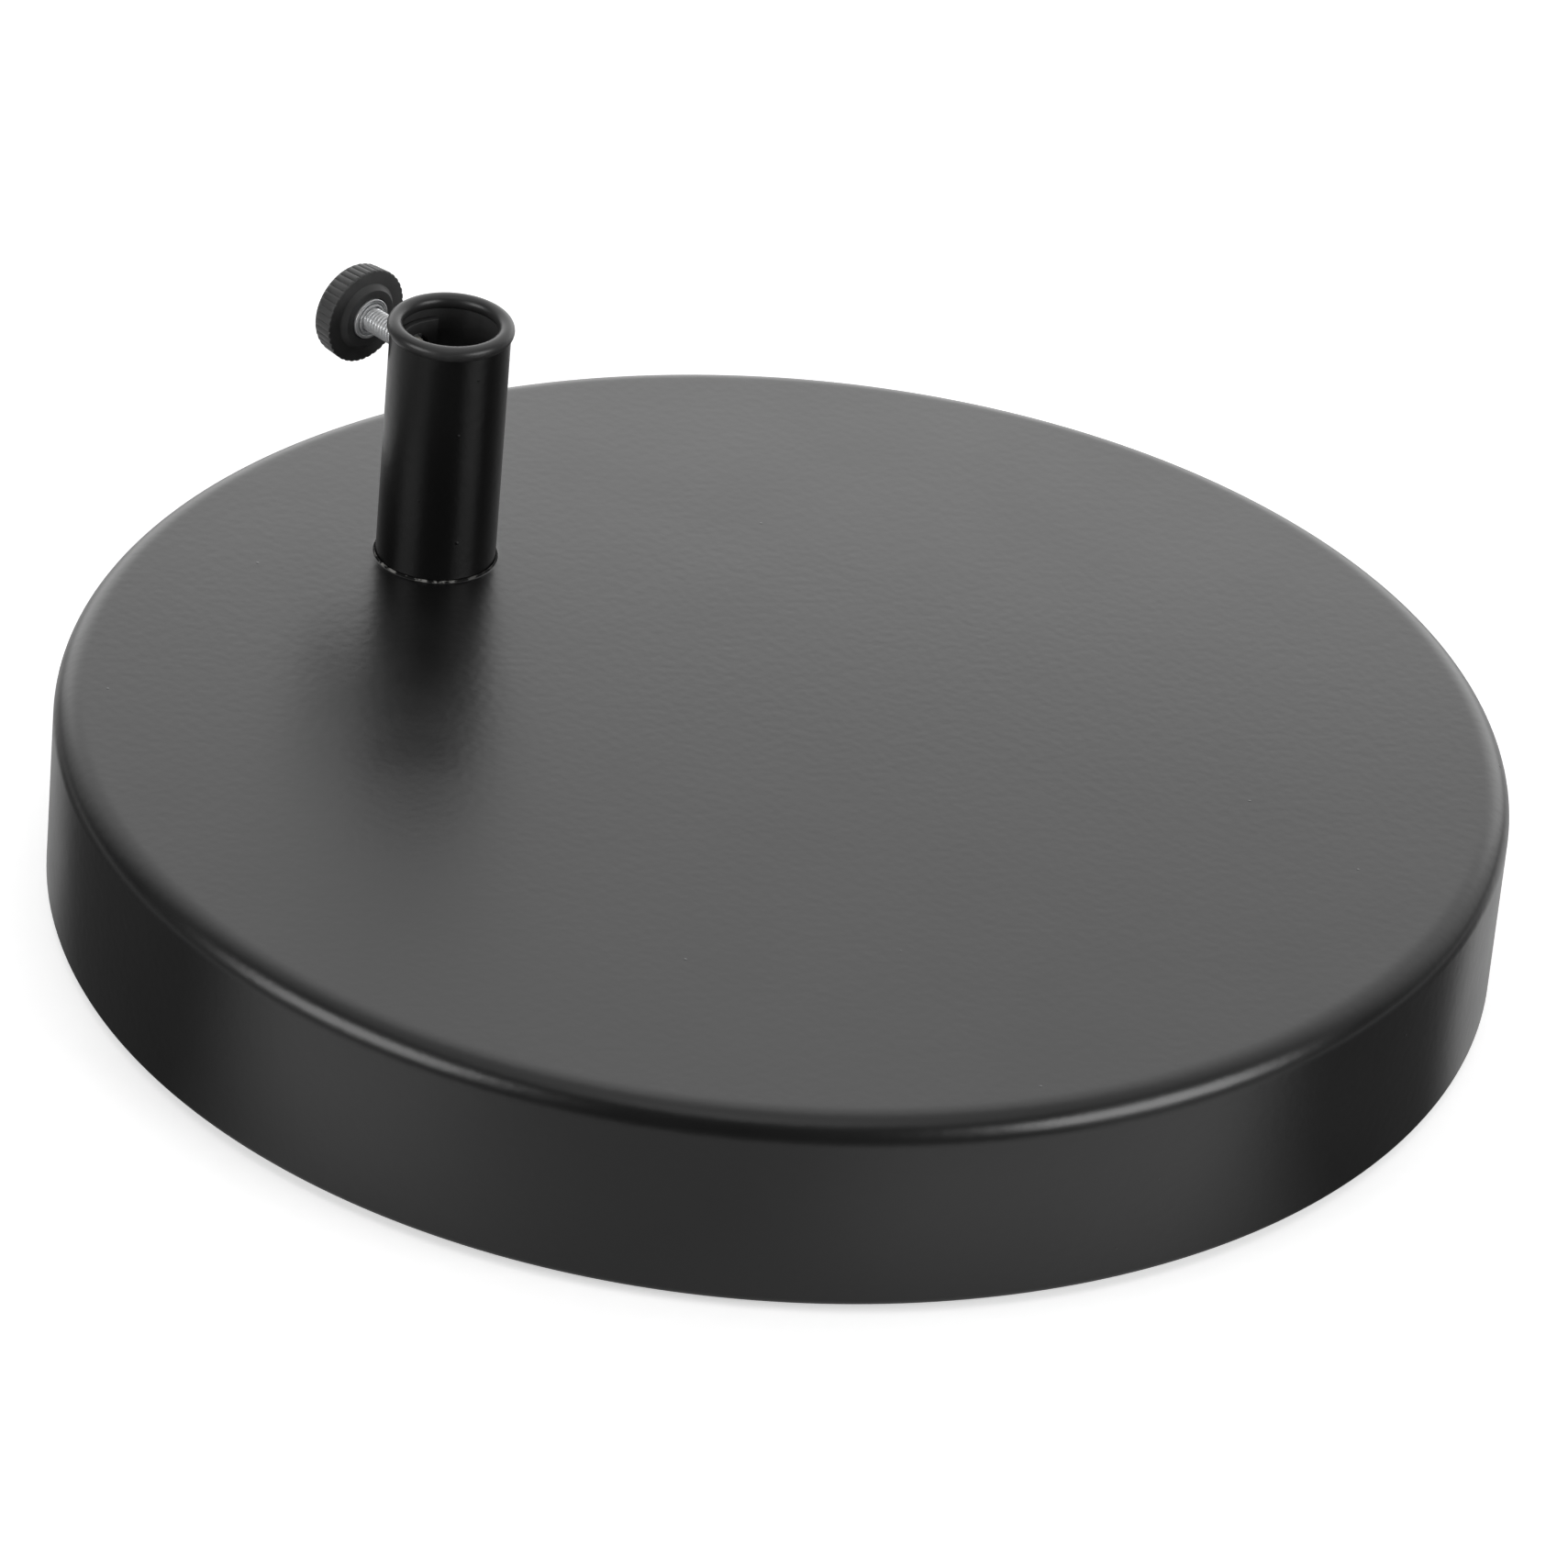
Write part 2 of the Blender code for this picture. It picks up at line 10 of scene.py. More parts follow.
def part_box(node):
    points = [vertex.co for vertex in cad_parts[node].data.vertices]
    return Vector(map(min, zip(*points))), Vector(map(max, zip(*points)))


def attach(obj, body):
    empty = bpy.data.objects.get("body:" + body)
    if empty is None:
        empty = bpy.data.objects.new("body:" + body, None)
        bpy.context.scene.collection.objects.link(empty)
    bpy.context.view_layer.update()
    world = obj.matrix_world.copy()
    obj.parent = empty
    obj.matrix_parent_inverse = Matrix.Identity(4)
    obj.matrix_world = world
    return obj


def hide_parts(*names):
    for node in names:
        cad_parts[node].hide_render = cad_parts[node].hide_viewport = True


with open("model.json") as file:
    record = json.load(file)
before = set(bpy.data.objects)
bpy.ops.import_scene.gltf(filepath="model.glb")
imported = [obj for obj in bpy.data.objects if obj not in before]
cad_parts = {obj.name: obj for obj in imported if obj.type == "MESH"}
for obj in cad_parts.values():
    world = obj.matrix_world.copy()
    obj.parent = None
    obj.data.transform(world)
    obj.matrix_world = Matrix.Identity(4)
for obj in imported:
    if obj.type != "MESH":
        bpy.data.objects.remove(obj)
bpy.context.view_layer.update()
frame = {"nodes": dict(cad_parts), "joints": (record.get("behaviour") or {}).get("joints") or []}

MM = 0.001
FULL_TURN = math.tau
MERGE_ROOM = 0.001 * MM
ARC_STEP = math.radians(13)
LEAST_ARC_STEPS = 3
SMALL_SIDES = 48

# Millimetres in a metre: a pattern's scale is this divided by the size of its features
METRE = 1000

# Places that the frame gives
COVER_LOW, COVER_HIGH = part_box("steel_cover")
TUBE_LOW, TUBE_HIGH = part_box("socket_tube")
RING_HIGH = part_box("mouth_ring")[1]
PLATE_LOW, PLATE_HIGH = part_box("bottom_plate")
FLANGE_LOW, FLANGE_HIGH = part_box("tube_flange")
STOP_LOW, STOP_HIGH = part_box("pole_stop")
NUT_LOW, NUT_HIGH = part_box("clamp_nut")
CLAMP_TURN = next(joint for joint in frame["joints"] if joint["name"] == "clamp_turn")
CLAMP_CENTRE = Vector(CLAMP_TURN["pos_m"])
CLAMP_AXIS = Vector(CLAMP_TURN["axis"]).normalized()
CLAMP_AZIMUTH = math.atan2(CLAMP_AXIS.y, CLAMP_AXIS.x)

# Steel cover
SOLID_LIP = 1.2 * MM
LIP_HEIGHT = 0.75 * MM
LIP_WIDTH = 0.9 * MM
COVER_RADIUS = COVER_HIGH.x
COVER_TOP = COVER_HIGH.z - SOLID_LIP
COVER_SHEET = 1.0 * MM
TOP_EDGE = 9.0 * MM
EDGE_SUPPORT = 1.5 * MM
HEM_RADIUS = 2.6 * MM
HEM_WIDTH = 11.0 * MM
COVER_SIDES = 288

# Socket tube and what is in it
TUBE_CENTRE = Vector((0.0, (TUBE_LOW.y + TUBE_HIGH.y) / 2, 0.0))
TUBE_RADIUS = TUBE_HIGH.x
TUBE_WALL = 1.5 * MM
TUBE_BORE = TUBE_RADIUS - TUBE_WALL
TUBE_GAP = 0.3 * MM
TUBE_SIDES = 144
RING_RADIUS = RING_HIGH.x
RING_BORE = 15.0 * MM
RING_CROWN = 2.0 * MM
STOP_BOSS = 13.0 * MM
STOP_STEP = 3.0 * MM
DRAIN_RADIUS = 4.0 * MM
NUT_THICKNESS = 2.2 * MM
NUT_SPAN = math.radians(56.0)
STUD_HOLE = 4.3 * MM

# Underside
FLANGE_OPENING = 46.5 * MM
FLANGE_RADIUS = 45.0 * MM
BOLT_CIRCLE = 33.0 * MM
BOLT_HOLE = 4.5 * MM
BOLT_COUNT = 4
FOOT_COUNT = 6
FOOT_CIRCLE = 190.0 * MM
FOOT_RADIUS = 14.0 * MM
FOOT_STEM = 4.0 * MM
FOOT_BARB = 5.5 * MM
GRIP_RINGS = (11.0 * MM, 8.0 * MM, 5.0 * MM)

# Clamp screw, as distances from the tube's axis along the screw
TIP_FRONT = 14.0 * MM
STUD_START = 16.3 * MM
STUD_END = 42.6 * MM
STUD_RADIUS = 4.0 * MM
THREAD_PITCH = 1.25 * MM
THREAD_DEPTH = 0.72 * MM
INSERT_FACE = 36.0 * MM
INSERT_BACK = 44.1 * MM
INSERT_RADIUS = 6.7 * MM
HUB_FACE = 36.7 * MM
KNOB_FACE = 38.6 * MM
KNOB_BACK = 46.6 * MM
KNOB_RADIUS = 15.7 * MM
KNOB_RIBS = 40
RIB_COLUMNS = 8
RIB_DEPTH = 0.42 * MM

# Camera, from the outline of the disc in the photograph
CAMERA_AZIMUTH = math.radians(-54.13)
CAMERA_ELEVATION = math.radians(31.22)
CAMERA_ROLL = math.radians(5.3)
CAMERA_DISTANCE = 2.9451
CAMERA_AIM = Vector((0.0155, 0.0096, 0.0325))
CAMERA_LENS_MM = 216.9
CAMERA_SENSOR_MM = 36.0

# Studio light on all that the camera doesn't see directly: the direction it comes from (right, away, up),
# how it sets in, where along that direction it starts and is full, and its brightness at both
STUDIO_LIGHTS = {"backdrop": ((0.08, 1.0, 0.6), "LINEAR", 0.35, 0.95, 0.05, 1.08),
                 "back bank": ((0.0, 0.574, 0.819), "SMOOTHSTEP", 0.90, 0.985, 0.0, 0.35),
                 "bank": ((0.0, 0.0, 1.0), "SMOOTHSTEP", 0.76, 0.87, 0.0, 0.72),
                 "front bank": ((0.0, -0.375, 0.927), "SMOOTHSTEP", 0.965, 0.992, 0.0, 0.36)}

# Floor: its radius, its lift for the eye, and its lift in reflections
FLOOR_RADIUS = 3.0
EYE_LIFT = 0.5
REFLECTED_LIFT = 0.07

# Painted shade on the floor, seen only in reflections, as dim discs, the second dim outside: place to the
# right and away from the camera, radius, where the dimming starts and is full (1 at the middle, 0 at the
# edge), and its depth
PAINTED_SHADE_DISCS = [(-0.05, -0.35, 0.17, 0.0, 0.6, 0.42),
                   (0.0, 0.12, 0.90, 0.54, 0.25, 0.92)]

# Painted shadows of the object on the floor beside it, seen only in reflections, as dim wedges, each between
# two
# edges: a point on the edge to the right and away from the camera, the way its dim side faces in degrees from
# the right, and half the width it fades over
PAINTED_SHADOW_WEDGES = [((0.2115, -0.0769, -40.0, 0.008), (0.152, -0.1659, 85.0, 0.036)),
                    ((-0.2163, -0.0620, 212.0, 0.010), (-0.152, -0.1659, 95.0, 0.036))]
WEDGE_NEAR, WEDGE_FAR = 0.34, 0.50
WEDGE_NEAR_DEPTH, WEDGE_FAR_DEPTH = 0.95, 0.35


def deselect_all():
    bpy.ops.object.select_all(action="DESELECT")


def pick(kind, test):
    """Select the corners, edges or faces of the piece in edit mode whose points all pass the test."""
    bpy.ops.mesh.select_mode(type=kind)
    bpy.ops.mesh.select_all(action="DESELECT")
    mesh = bmesh.from_edit_mesh(bpy.context.object.data)
    parts = {"VERT": mesh.verts, "EDGE": mesh.edges, "FACE": mesh.faces}[kind]
    for part in parts:
        points = [part.co] if kind == "VERT" else [vert.co for vert in part.verts]
        if all(test(point) for point in points):
            part.select_set(True)
    mesh.select_flush_mode()
    bmesh.update_edit_mesh(bpy.context.object.data)


def near(value, target, room=0.02 * MM):
    return abs(value - target) < room


def out_from(point, centre):
    """Distance of a point from an upright axis."""
    return math.hypot(point.x - centre.x, point.y - centre.y)


def make_active(piece):
    """Select one piece alone and make it the active one."""
    deselect_all()
    piece.select_set(True)
    bpy.context.view_layer.objects.active = piece


def apply_place(piece):
    make_active(piece)
    bpy.ops.object.transform_apply(location=True, rotation=True, scale=True)


def close_up():
    """Merge doubles and turn every face of the piece in edit mode outwards."""
    bpy.ops.mesh.select_all(action="SELECT")
    bpy.ops.mesh.remove_doubles(threshold=MERGE_ROOM)
    bpy.ops.mesh.normals_make_consistent(inside=False)


def cap_ends():
    """Fill the open ends of the piece in edit mode."""
    bpy.ops.mesh.select_all(action="DESELECT")
    bpy.ops.mesh.select_mode(type="EDGE")
    bpy.ops.mesh.select_non_manifold()
    bpy.ops.mesh.fill_holes(sides=0)
    close_up()


def rounded(corners, closed):
    """Outline through corners (radius, height, fillet), with each fillet drawn as an arc."""
    points = []
    count = len(corners)
    for index, (radius, height, fillet) in enumerate(corners):
        corner = Vector((radius, height))
        at_end = not closed and index in (0, count - 1)
        if fillet == 0.0 or at_end:
            points.append(corner)
            continue
        before = (Vector(corners[index - 1][:2]) - corner).normalized()
        after = (Vector(corners[(index + 1) % count][:2]) - corner).normalized()
        half = before.angle(after) / 2
        centre = corner + (before + after).normalized() * (fillet / math.sin(half))
        reach = fillet / math.tan(half)
        first = corner + before * reach - centre
        last = corner + after * reach - centre
        turn = math.copysign(math.pi - 2 * half, first.x * last.y - first.y * last.x)
        steps = max(LEAST_ARC_STEPS, round(abs(turn) / ARC_STEP))
        for step in range(steps + 1):
            angle = turn * step / steps
            swung = Vector((first.x * math.cos(angle) - first.y * math.sin(angle),
                            first.x * math.sin(angle) + first.y * math.cos(angle)))
            points.append(centre + swung)
    return points


def draw_outline(points):
    """Extrude one point along an outline (radius, height), and stay in edit mode."""
    deselect_all()
    bpy.ops.mesh.primitive_plane_add(size=MM)
    bpy.ops.object.mode_set(mode="EDIT")
    bpy.ops.mesh.select_mode(type="VERT")
    bpy.ops.mesh.select_all(action="SELECT")
    bpy.ops.mesh.merge(type="CENTER")
    here = Vector()
    for number, (radius, height) in enumerate(points):
        there = Vector((radius, 0.0, height))
        if number == 0:
            bpy.ops.transform.translate(value=there)
        else:
            bpy.ops.mesh.extrude_vertices_move(TRANSFORM_OT_translate={"value": there - here})
        here = there


def turn_piece(outline, steps, closed, span=FULL_TURN):
    """Draw a half section, then spin it round the upright axis."""
    draw_outline(outline + outline[:1] if closed else outline)
    bpy.ops.mesh.select_all(action="SELECT")
    bpy.ops.mesh.remove_doubles(threshold=MERGE_ROOM)
    bpy.ops.mesh.select_all(action="SELECT")
    bpy.ops.mesh.spin(steps=steps, angle=span, center=(0, 0, 0), axis=(0, 0, 1))
    close_up()
    bpy.ops.object.mode_set(mode="OBJECT")
    return bpy.context.object


def stand_at(piece, x, y, turn=0.0):
    """Move an upright piece from the origin to its place."""
    piece.location = (x, y, 0.0)
    piece.rotation_euler = (0.0, 0.0, turn)
    apply_place(piece)


def lay_along_clamp(piece):
    """Lay an upright piece along the clamp screw, its heights becoming distances from the tube's axis."""
    piece.location = CLAMP_CENTRE
    piece.rotation_euler = (0.0, math.pi / 2, CLAMP_AZIMUTH)
    apply_place(piece)


def combine(piece, other, operation):
    """Cut, join or trim a piece by another one, which is used up."""
    make_active(piece)
    step = piece.modifiers.new(operation.title(), "BOOLEAN")
    step.operation = operation
    step.solver = "EXACT"
    step.object = other
    bpy.ops.object.modifier_apply(modifier=step.name)
    bpy.data.objects.remove(other)


def drill(piece, x, y, radius, low, high, sides=SMALL_SIDES):
    deselect_all()
    bpy.ops.mesh.primitive_cylinder_add(vertices=sides, radius=radius, depth=high - low,
                                        location=(x, y, (low + high) / 2))
    bit = bpy.context.object
    apply_place(bit)
    combine(piece, bit, "DIFFERENCE")


def thicken(piece, wall):
    step = piece.modifiers.new("Sheet", "SOLIDIFY")
    step.thickness = wall
    step.offset = -1.0
    step.use_even_offset = True
    make_active(piece)
    bpy.ops.object.modifier_apply(modifier=step.name)


def finish_piece(piece, name, body, material, nodes, sharp_degrees=32.0):
    """Smooth, name and dress a piece, and let it stand for its CAD nodes."""
    make_active(piece)
    bpy.ops.object.shade_smooth_by_angle(angle=math.radians(sharp_degrees))
    piece.name = name
    piece.data.name = name
    piece.data.materials.clear()
    piece.data.materials.append(material)
    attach(piece, body)
    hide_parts(*nodes)


def copy_to(piece, x, y, turn=0.0):
    twin = piece.copy()
    twin.data = piece.data.copy()
    bpy.context.scene.collection.objects.link(twin)
    stand_at(twin, x, y, turn)
    return twin


def ring_places(count, radius, first, centre=Vector((0.0, 0.0, 0.0))):
    """Places spread evenly on a circle."""
    places = []
    for index in range(count):
        angle = first + FULL_TURN * index / count
        places.append((centre.x + radius * math.cos(angle), centre.y + radius * math.sin(angle)))
    return places


def make_cover(paint):
    """Spun cover: cylinder with its top edge drawn round, hem turned in, and a lip raised round the tube."""
    deselect_all()
    bpy.ops.mesh.primitive_cylinder_add(vertices=COVER_SIDES, radius=COVER_RADIUS,
                                        depth=COVER_TOP - COVER_LOW.z,
                                        location=(0, 0, (COVER_TOP + COVER_LOW.z) / 2))
    cover = bpy.context.object
    apply_place(cover)
    centre = Vector()
    bpy.ops.object.mode_set(mode="EDIT")

    pick("FACE", lambda p: near(p.z, COVER_LOW.z))
    bpy.ops.mesh.inset(thickness=HEM_WIDTH)
    bpy.ops.mesh.delete(type="ONLY_FACE")
    pick("FACE", lambda p: near(p.z, COVER_TOP))
    bpy.ops.mesh.inset(thickness=TOP_EDGE + EDGE_SUPPORT)
    bpy.ops.mesh.delete(type="ONLY_FACE")

    lip_foot = TUBE_RADIUS + TUBE_GAP + LIP_WIDTH
    hole_edge = lip_foot + EDGE_SUPPORT
    bpy.ops.mesh.primitive_circle_add(vertices=TUBE_SIDES, radius=hole_edge,
                                      location=TUBE_CENTRE + Vector((0, 0, COVER_TOP)))
    flat_edge = COVER_RADIUS - TOP_EDGE - EDGE_SUPPORT
    inset_room = 0.2 * MM
    pick("EDGE", lambda p: near(p.z, COVER_TOP) and (near(out_from(p, centre), flat_edge, inset_room)
                                                      or near(out_from(p, TUBE_CENTRE), hole_edge)))
    bpy.ops.mesh.bridge_edge_loops()
    pick("EDGE", lambda p: near(p.z, COVER_TOP) and near(out_from(p, TUBE_CENTRE), hole_edge))
    rise = [(1.0, 0.0), (0.72, 0.05), (0.52, 0.20), (0.42, 0.45),
            (0.39, 0.70), (0.33, 0.86), (0.20, 0.97), (0.0, 1.0)]
    before = (hole_edge, 0.0)
    hole = TUBE_RADIUS + TUBE_GAP
    for width_share, height_share in rise:
        radius = hole + width_share * LIP_WIDTH
        height = height_share * LIP_HEIGHT
        bpy.ops.mesh.extrude_region_move(
            TRANSFORM_OT_translate={"value": (0, 0, height - before[1])})
        scale = radius / before[0]
        bpy.ops.transform.resize(value=(scale, scale, 1), center_override=TUBE_CENTRE)
        before = (radius, height)

    pick("EDGE", lambda p: near(p.z, COVER_TOP) and near(out_from(p, centre), COVER_RADIUS))
    bpy.ops.mesh.bevel(offset=TOP_EDGE, segments=16, affect="EDGES")
    pick("EDGE", lambda p: near(p.z, COVER_LOW.z) and near(out_from(p, centre), COVER_RADIUS))
    bpy.ops.mesh.bevel(offset=HEM_RADIUS, segments=8, affect="EDGES")
    close_up()
    bpy.ops.object.mode_set(mode="OBJECT")
    thicken(cover, COVER_SHEET)
    finish_piece(cover, "cover_spun", "base", paint, ["steel_cover"])


def make_tube(paint, bore_finish):
    """Open cylinder given its wall, drilled for the clamp screw, with its own finish in the bore."""
    deselect_all()
    bpy.ops.mesh.primitive_cylinder_add(vertices=TUBE_SIDES, radius=TUBE_RADIUS, end_fill_type="NOTHING",
                                        depth=TUBE_HIGH.z - TUBE_LOW.z,
                                        location=TUBE_CENTRE + Vector((0, 0, (TUBE_HIGH.z + TUBE_LOW.z) / 2)))
    tube = bpy.context.object
    apply_place(tube)
    thicken(tube, TUBE_WALL)
    combine(tube, clamp_drill(), "DIFFERENCE")
    finish_piece(tube, "socket_drawn_tube", "base", paint, ["socket_tube"])
    tube.data.materials.append(bore_finish)
    bpy.ops.object.mode_set(mode="EDIT")
    pick("FACE", lambda p: out_from(p, TUBE_CENTRE) < TUBE_BORE + TUBE_GAP)
    tube.active_material_index = 1
    bpy.ops.object.material_slot_assign()
    bpy.ops.object.mode_set(mode="OBJECT")


def clamp_drill():
    """Cylinder along the clamp screw, through one wall of the tube."""
    deselect_all()
    length = 18 * MM
    middle = 18 * MM
    bpy.ops.mesh.primitive_cylinder_add(vertices=SMALL_SIDES, radius=STUD_HOLE, depth=length,
                                        location=(0, 0, middle))
    bit = bpy.context.object
    apply_place(bit)
    lay_along_clamp(bit)
    return bit


def make_mouth_ring(plastic):
    """Round bead pressed over the tube's end, slotted underneath for the wall."""
    bead = (RING_RADIUS - RING_BORE) / 2
    middle = (RING_RADIUS + RING_BORE) / 2
    centre_z = RING_HIGH.z - bead
    outer = TUBE_RADIUS + TUBE_GAP
    inner = TUBE_BORE - TUBE_GAP
    first = math.pi + math.acos((middle - inner) / bead)
    last = -math.acos((outer - middle) / bead)
    outline = []
    steps = 40
    for step in range(steps + 1):
        angle = first + (last - first) * step / steps
        outline.append((middle + bead * math.cos(angle), centre_z + bead * math.sin(angle)))
    outline += [(outer, RING_HIGH.z - RING_CROWN), (inner, RING_HIGH.z - RING_CROWN)]
    ring = turn_piece(outline, TUBE_SIDES, closed=True)
    stand_at(ring, TUBE_CENTRE.x, TUBE_CENTRE.y)
    finish_piece(ring, "mouth_bead", "base", plastic, ["mouth_ring"])


def make_pole_stop(plastic):
    """Moulded floor of the socket, with a raised seat and soft edges."""
    rim = TUBE_BORE - TUBE_GAP
    low = STOP_LOW.z
    step_z = low + STOP_STEP
    seat_edge, step_fillet, rim_edge, drain_edge = 0.8 * MM, 1.0 * MM, 0.6 * MM, 0.6 * MM
    corners = [(STOP_BOSS, STOP_HIGH.z, seat_edge), (STOP_BOSS, step_z, step_fillet), (rim, step_z, rim_edge),
               (rim, low, 0.0), (DRAIN_RADIUS, low, 0.0), (DRAIN_RADIUS, STOP_HIGH.z, drain_edge)]
    stop = turn_piece(rounded(corners, closed=True), steps=96, closed=True)
    stand_at(stop, TUBE_CENTRE.x, TUBE_CENTRE.y)
    finish_piece(stop, "pole_stop_moulded", "base", plastic, ["pole_stop"])


def make_nut(bore_finish):
    """Curved plate inside the tube, drilled for the screw, with the bore's own finish."""
    outer = TUBE_BORE - TUBE_GAP
    inner = outer - NUT_THICKNESS
    edge = 0.4 * MM
    corners = [(outer, NUT_HIGH.z, edge), (outer, NUT_LOW.z, edge),
               (inner, NUT_LOW.z, edge), (inner, NUT_HIGH.z, edge)]
    nut = turn_piece(rounded(corners, closed=True), steps=28, closed=True, span=NUT_SPAN)
    bpy.ops.object.mode_set(mode="EDIT")
    cap_ends()
    bpy.ops.object.mode_set(mode="OBJECT")
    stand_at(nut, TUBE_CENTRE.x, TUBE_CENTRE.y, CLAMP_AZIMUTH + NUT_SPAN / 2)
    combine(nut, clamp_drill(), "DIFFERENCE")
    finish_piece(nut, "clamp_nut_plate", "base", bore_finish, ["clamp_nut"])


def make_bottom_plate(zinc):
    """Sheet disc, holed for the feet and open under the flange."""
    deselect_all()
    bpy.ops.mesh.primitive_circle_add(vertices=COVER_SIDES, radius=PLATE_HIGH.x, fill_type="NGON",
                                      location=(0, 0, PLATE_LOW.z))
    plate = bpy.context.object
    apply_place(plate)
    bpy.ops.object.mode_set(mode="EDIT")
    bpy.ops.mesh.select_all(action="SELECT")
    bpy.ops.mesh.extrude_region_move(TRANSFORM_OT_translate={"value": (0, 0, PLATE_HIGH.z - PLATE_LOW.z)})
    close_up()
    bpy.ops.object.mode_set(mode="OBJECT")
    below = PLATE_LOW.z - MM
    above = PLATE_HIGH.z + MM
    drill(plate, TUBE_CENTRE.x, TUBE_CENTRE.y, FLANGE_OPENING, below, above, sides=96)
    for x, y in ring_places(FOOT_COUNT, FOOT_CIRCLE, 0.0):
        drill(plate, x, y, FOOT_STEM + TUBE_GAP, below, above)
    finish_piece(plate, "bottom_sheet", "base", zinc, ["bottom_plate"])


def make_flange(paint):
    """Round foot plate of the tube, drilled for its bolts and for drainage."""
    low = FLANGE_LOW.z
    high = FLANGE_HIGH.z
    rim_edge, drain_edge = 0.6 * MM, 0.4 * MM
    corners = [(FLANGE_RADIUS, high, rim_edge), (FLANGE_RADIUS, low, rim_edge),
               (DRAIN_RADIUS, low, drain_edge), (DRAIN_RADIUS, high, drain_edge)]
    flange = turn_piece(rounded(corners, closed=True), steps=128, closed=True)
    stand_at(flange, TUBE_CENTRE.x, TUBE_CENTRE.y)
    for x, y in ring_places(BOLT_COUNT, BOLT_CIRCLE, math.pi / BOLT_COUNT, TUBE_CENTRE):
        drill(flange, x, y, BOLT_HOLE, low - MM, high + MM)
    finish_piece(flange, "tube_foot_flange", "base", paint, ["tube_flange"])


def make_bolts(zinc):
    """Hexagon bolt, trimmed to a round chamfer under its head, with a washer, copied round the flange."""
    low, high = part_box("flange_bolt_1")
    washer_low, washer_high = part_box("flange_washer_1")
    head_top = washer_low.z - TUBE_GAP
    flats = 13.0 * MM
    corner = flats / math.sqrt(3)
    deselect_all()
    bpy.ops.mesh.primitive_cylinder_add(vertices=6, radius=corner, depth=head_top - low.z,
                                        location=(0, 0, (head_top + low.z) / 2))
    bolt = bpy.context.object
    apply_place(bolt)
    face = flats / 2 * 0.96
    past_corners = corner * 1.03
    chamfer = [(0.0, low.z), (face, low.z), (past_corners, low.z + 1.1 * MM),
               (past_corners, head_top), (0.0, head_top)]
    combine(bolt, turn_piece(chamfer, steps=72, closed=False), "INTERSECT")
    radius, point, point_length = 4.0 * MM, 3.4 * MM, 0.6 * MM
    shank = [(0.0, head_top - MM), (radius, head_top - MM), (radius, high.z - point_length),
             (point, high.z), (0.0, high.z)]
    combine(bolt, turn_piece(shank, SMALL_SIDES, closed=False), "UNION")
    rim, hole, edge = 8.0 * MM, 4.3 * MM, 0.25 * MM
    corners = [(rim, washer_high.z, edge), (rim, washer_low.z, edge),
               (hole, washer_low.z, edge), (hole, washer_high.z, edge)]
    washer = turn_piece(rounded(corners, closed=True), steps=64, closed=True)
    degrees_apart = 17.0
    places = ring_places(BOLT_COUNT, BOLT_CIRCLE, math.pi / BOLT_COUNT, TUBE_CENTRE)
    for number, (x, y) in enumerate(places, 1):
        turn = math.radians(degrees_apart * number)
        finish_piece(copy_to(bolt, x, y, turn), f"hex_bolt_{number}", "base", zinc,
                     [f"flange_bolt_{number}"])
        finish_piece(copy_to(washer, x, y, turn), f"plain_washer_{number}", "base", zinc,
                     [f"flange_washer_{number}"])
    bpy.data.objects.remove(bolt)
    bpy.data.objects.remove(washer)


def make_feet(rubber):
    """Push-in button with grip rings under its pad, copied round the plate."""
    low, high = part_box("foot_1")
    pad_top = PLATE_LOW.z - TUBE_GAP
    barb_low = PLATE_HIGH.z + TUBE_GAP
    stem_edge, pad_edge, sole_edge = 0.5 * MM, 0.9 * MM, 1.1 * MM
    corners = [(0.0, high.z, 0.0), (FOOT_STEM, high.z, stem_edge), (FOOT_BARB, barb_low, 0.0),
               (FOOT_STEM, barb_low, 0.0), (FOOT_STEM, pad_top, 0.0), (FOOT_RADIUS, pad_top, pad_edge),
               (FOOT_RADIUS, low.z, sole_edge)]
    groove, half_mouth, half_bed = 0.5 * MM, 0.9 * MM, 0.4 * MM
    mouth_edge, bed_edge = 0.2 * MM, 0.15 * MM
    for radius in GRIP_RINGS:
        corners += [(radius + half_mouth, low.z, mouth_edge), (radius + half_bed, low.z + groove, bed_edge),
                    (radius - half_bed, low.z + groove, bed_edge), (radius - half_mouth, low.z, mouth_edge)]
    corners += [(0.0, low.z, 0.0)]
    foot = turn_piece(rounded(corners, closed=False), steps=72, closed=False)
    for number, (x, y) in enumerate(ring_places(FOOT_COUNT, FOOT_CIRCLE, 0.0), 1):
        finish_piece(copy_to(foot, x, y), f"rubber_button_{number}", "base", rubber,
                     [f"foot_{number}"])
    bpy.data.objects.remove(foot)


def make_tip(nylon):
    """Swivel tip with a soft front edge and a neck that sits in the stud's end."""
    back = TIP_FRONT + 2.0 * MM
    neck_end = back + 2.5 * MM
    neck, head = 1.4 * MM, 2.8 * MM
    neck_edge, back_edge, front_edge = 0.4 * MM, 0.3 * MM, 0.8 * MM
    corners = [(0.0, neck_end, 0.0), (neck, neck_end, neck_edge), (neck, back, 0.0),
               (head, back, back_edge), (head, TIP_FRONT, front_edge), (0.0, TIP_FRONT, 0.0)]
    tip = turn_piece(rounded(corners, closed=False), steps=64, closed=False)
    lay_along_clamp(tip)
    finish_piece(tip, "swivel_tip", "tip", nylon, ["clamp_tip"])


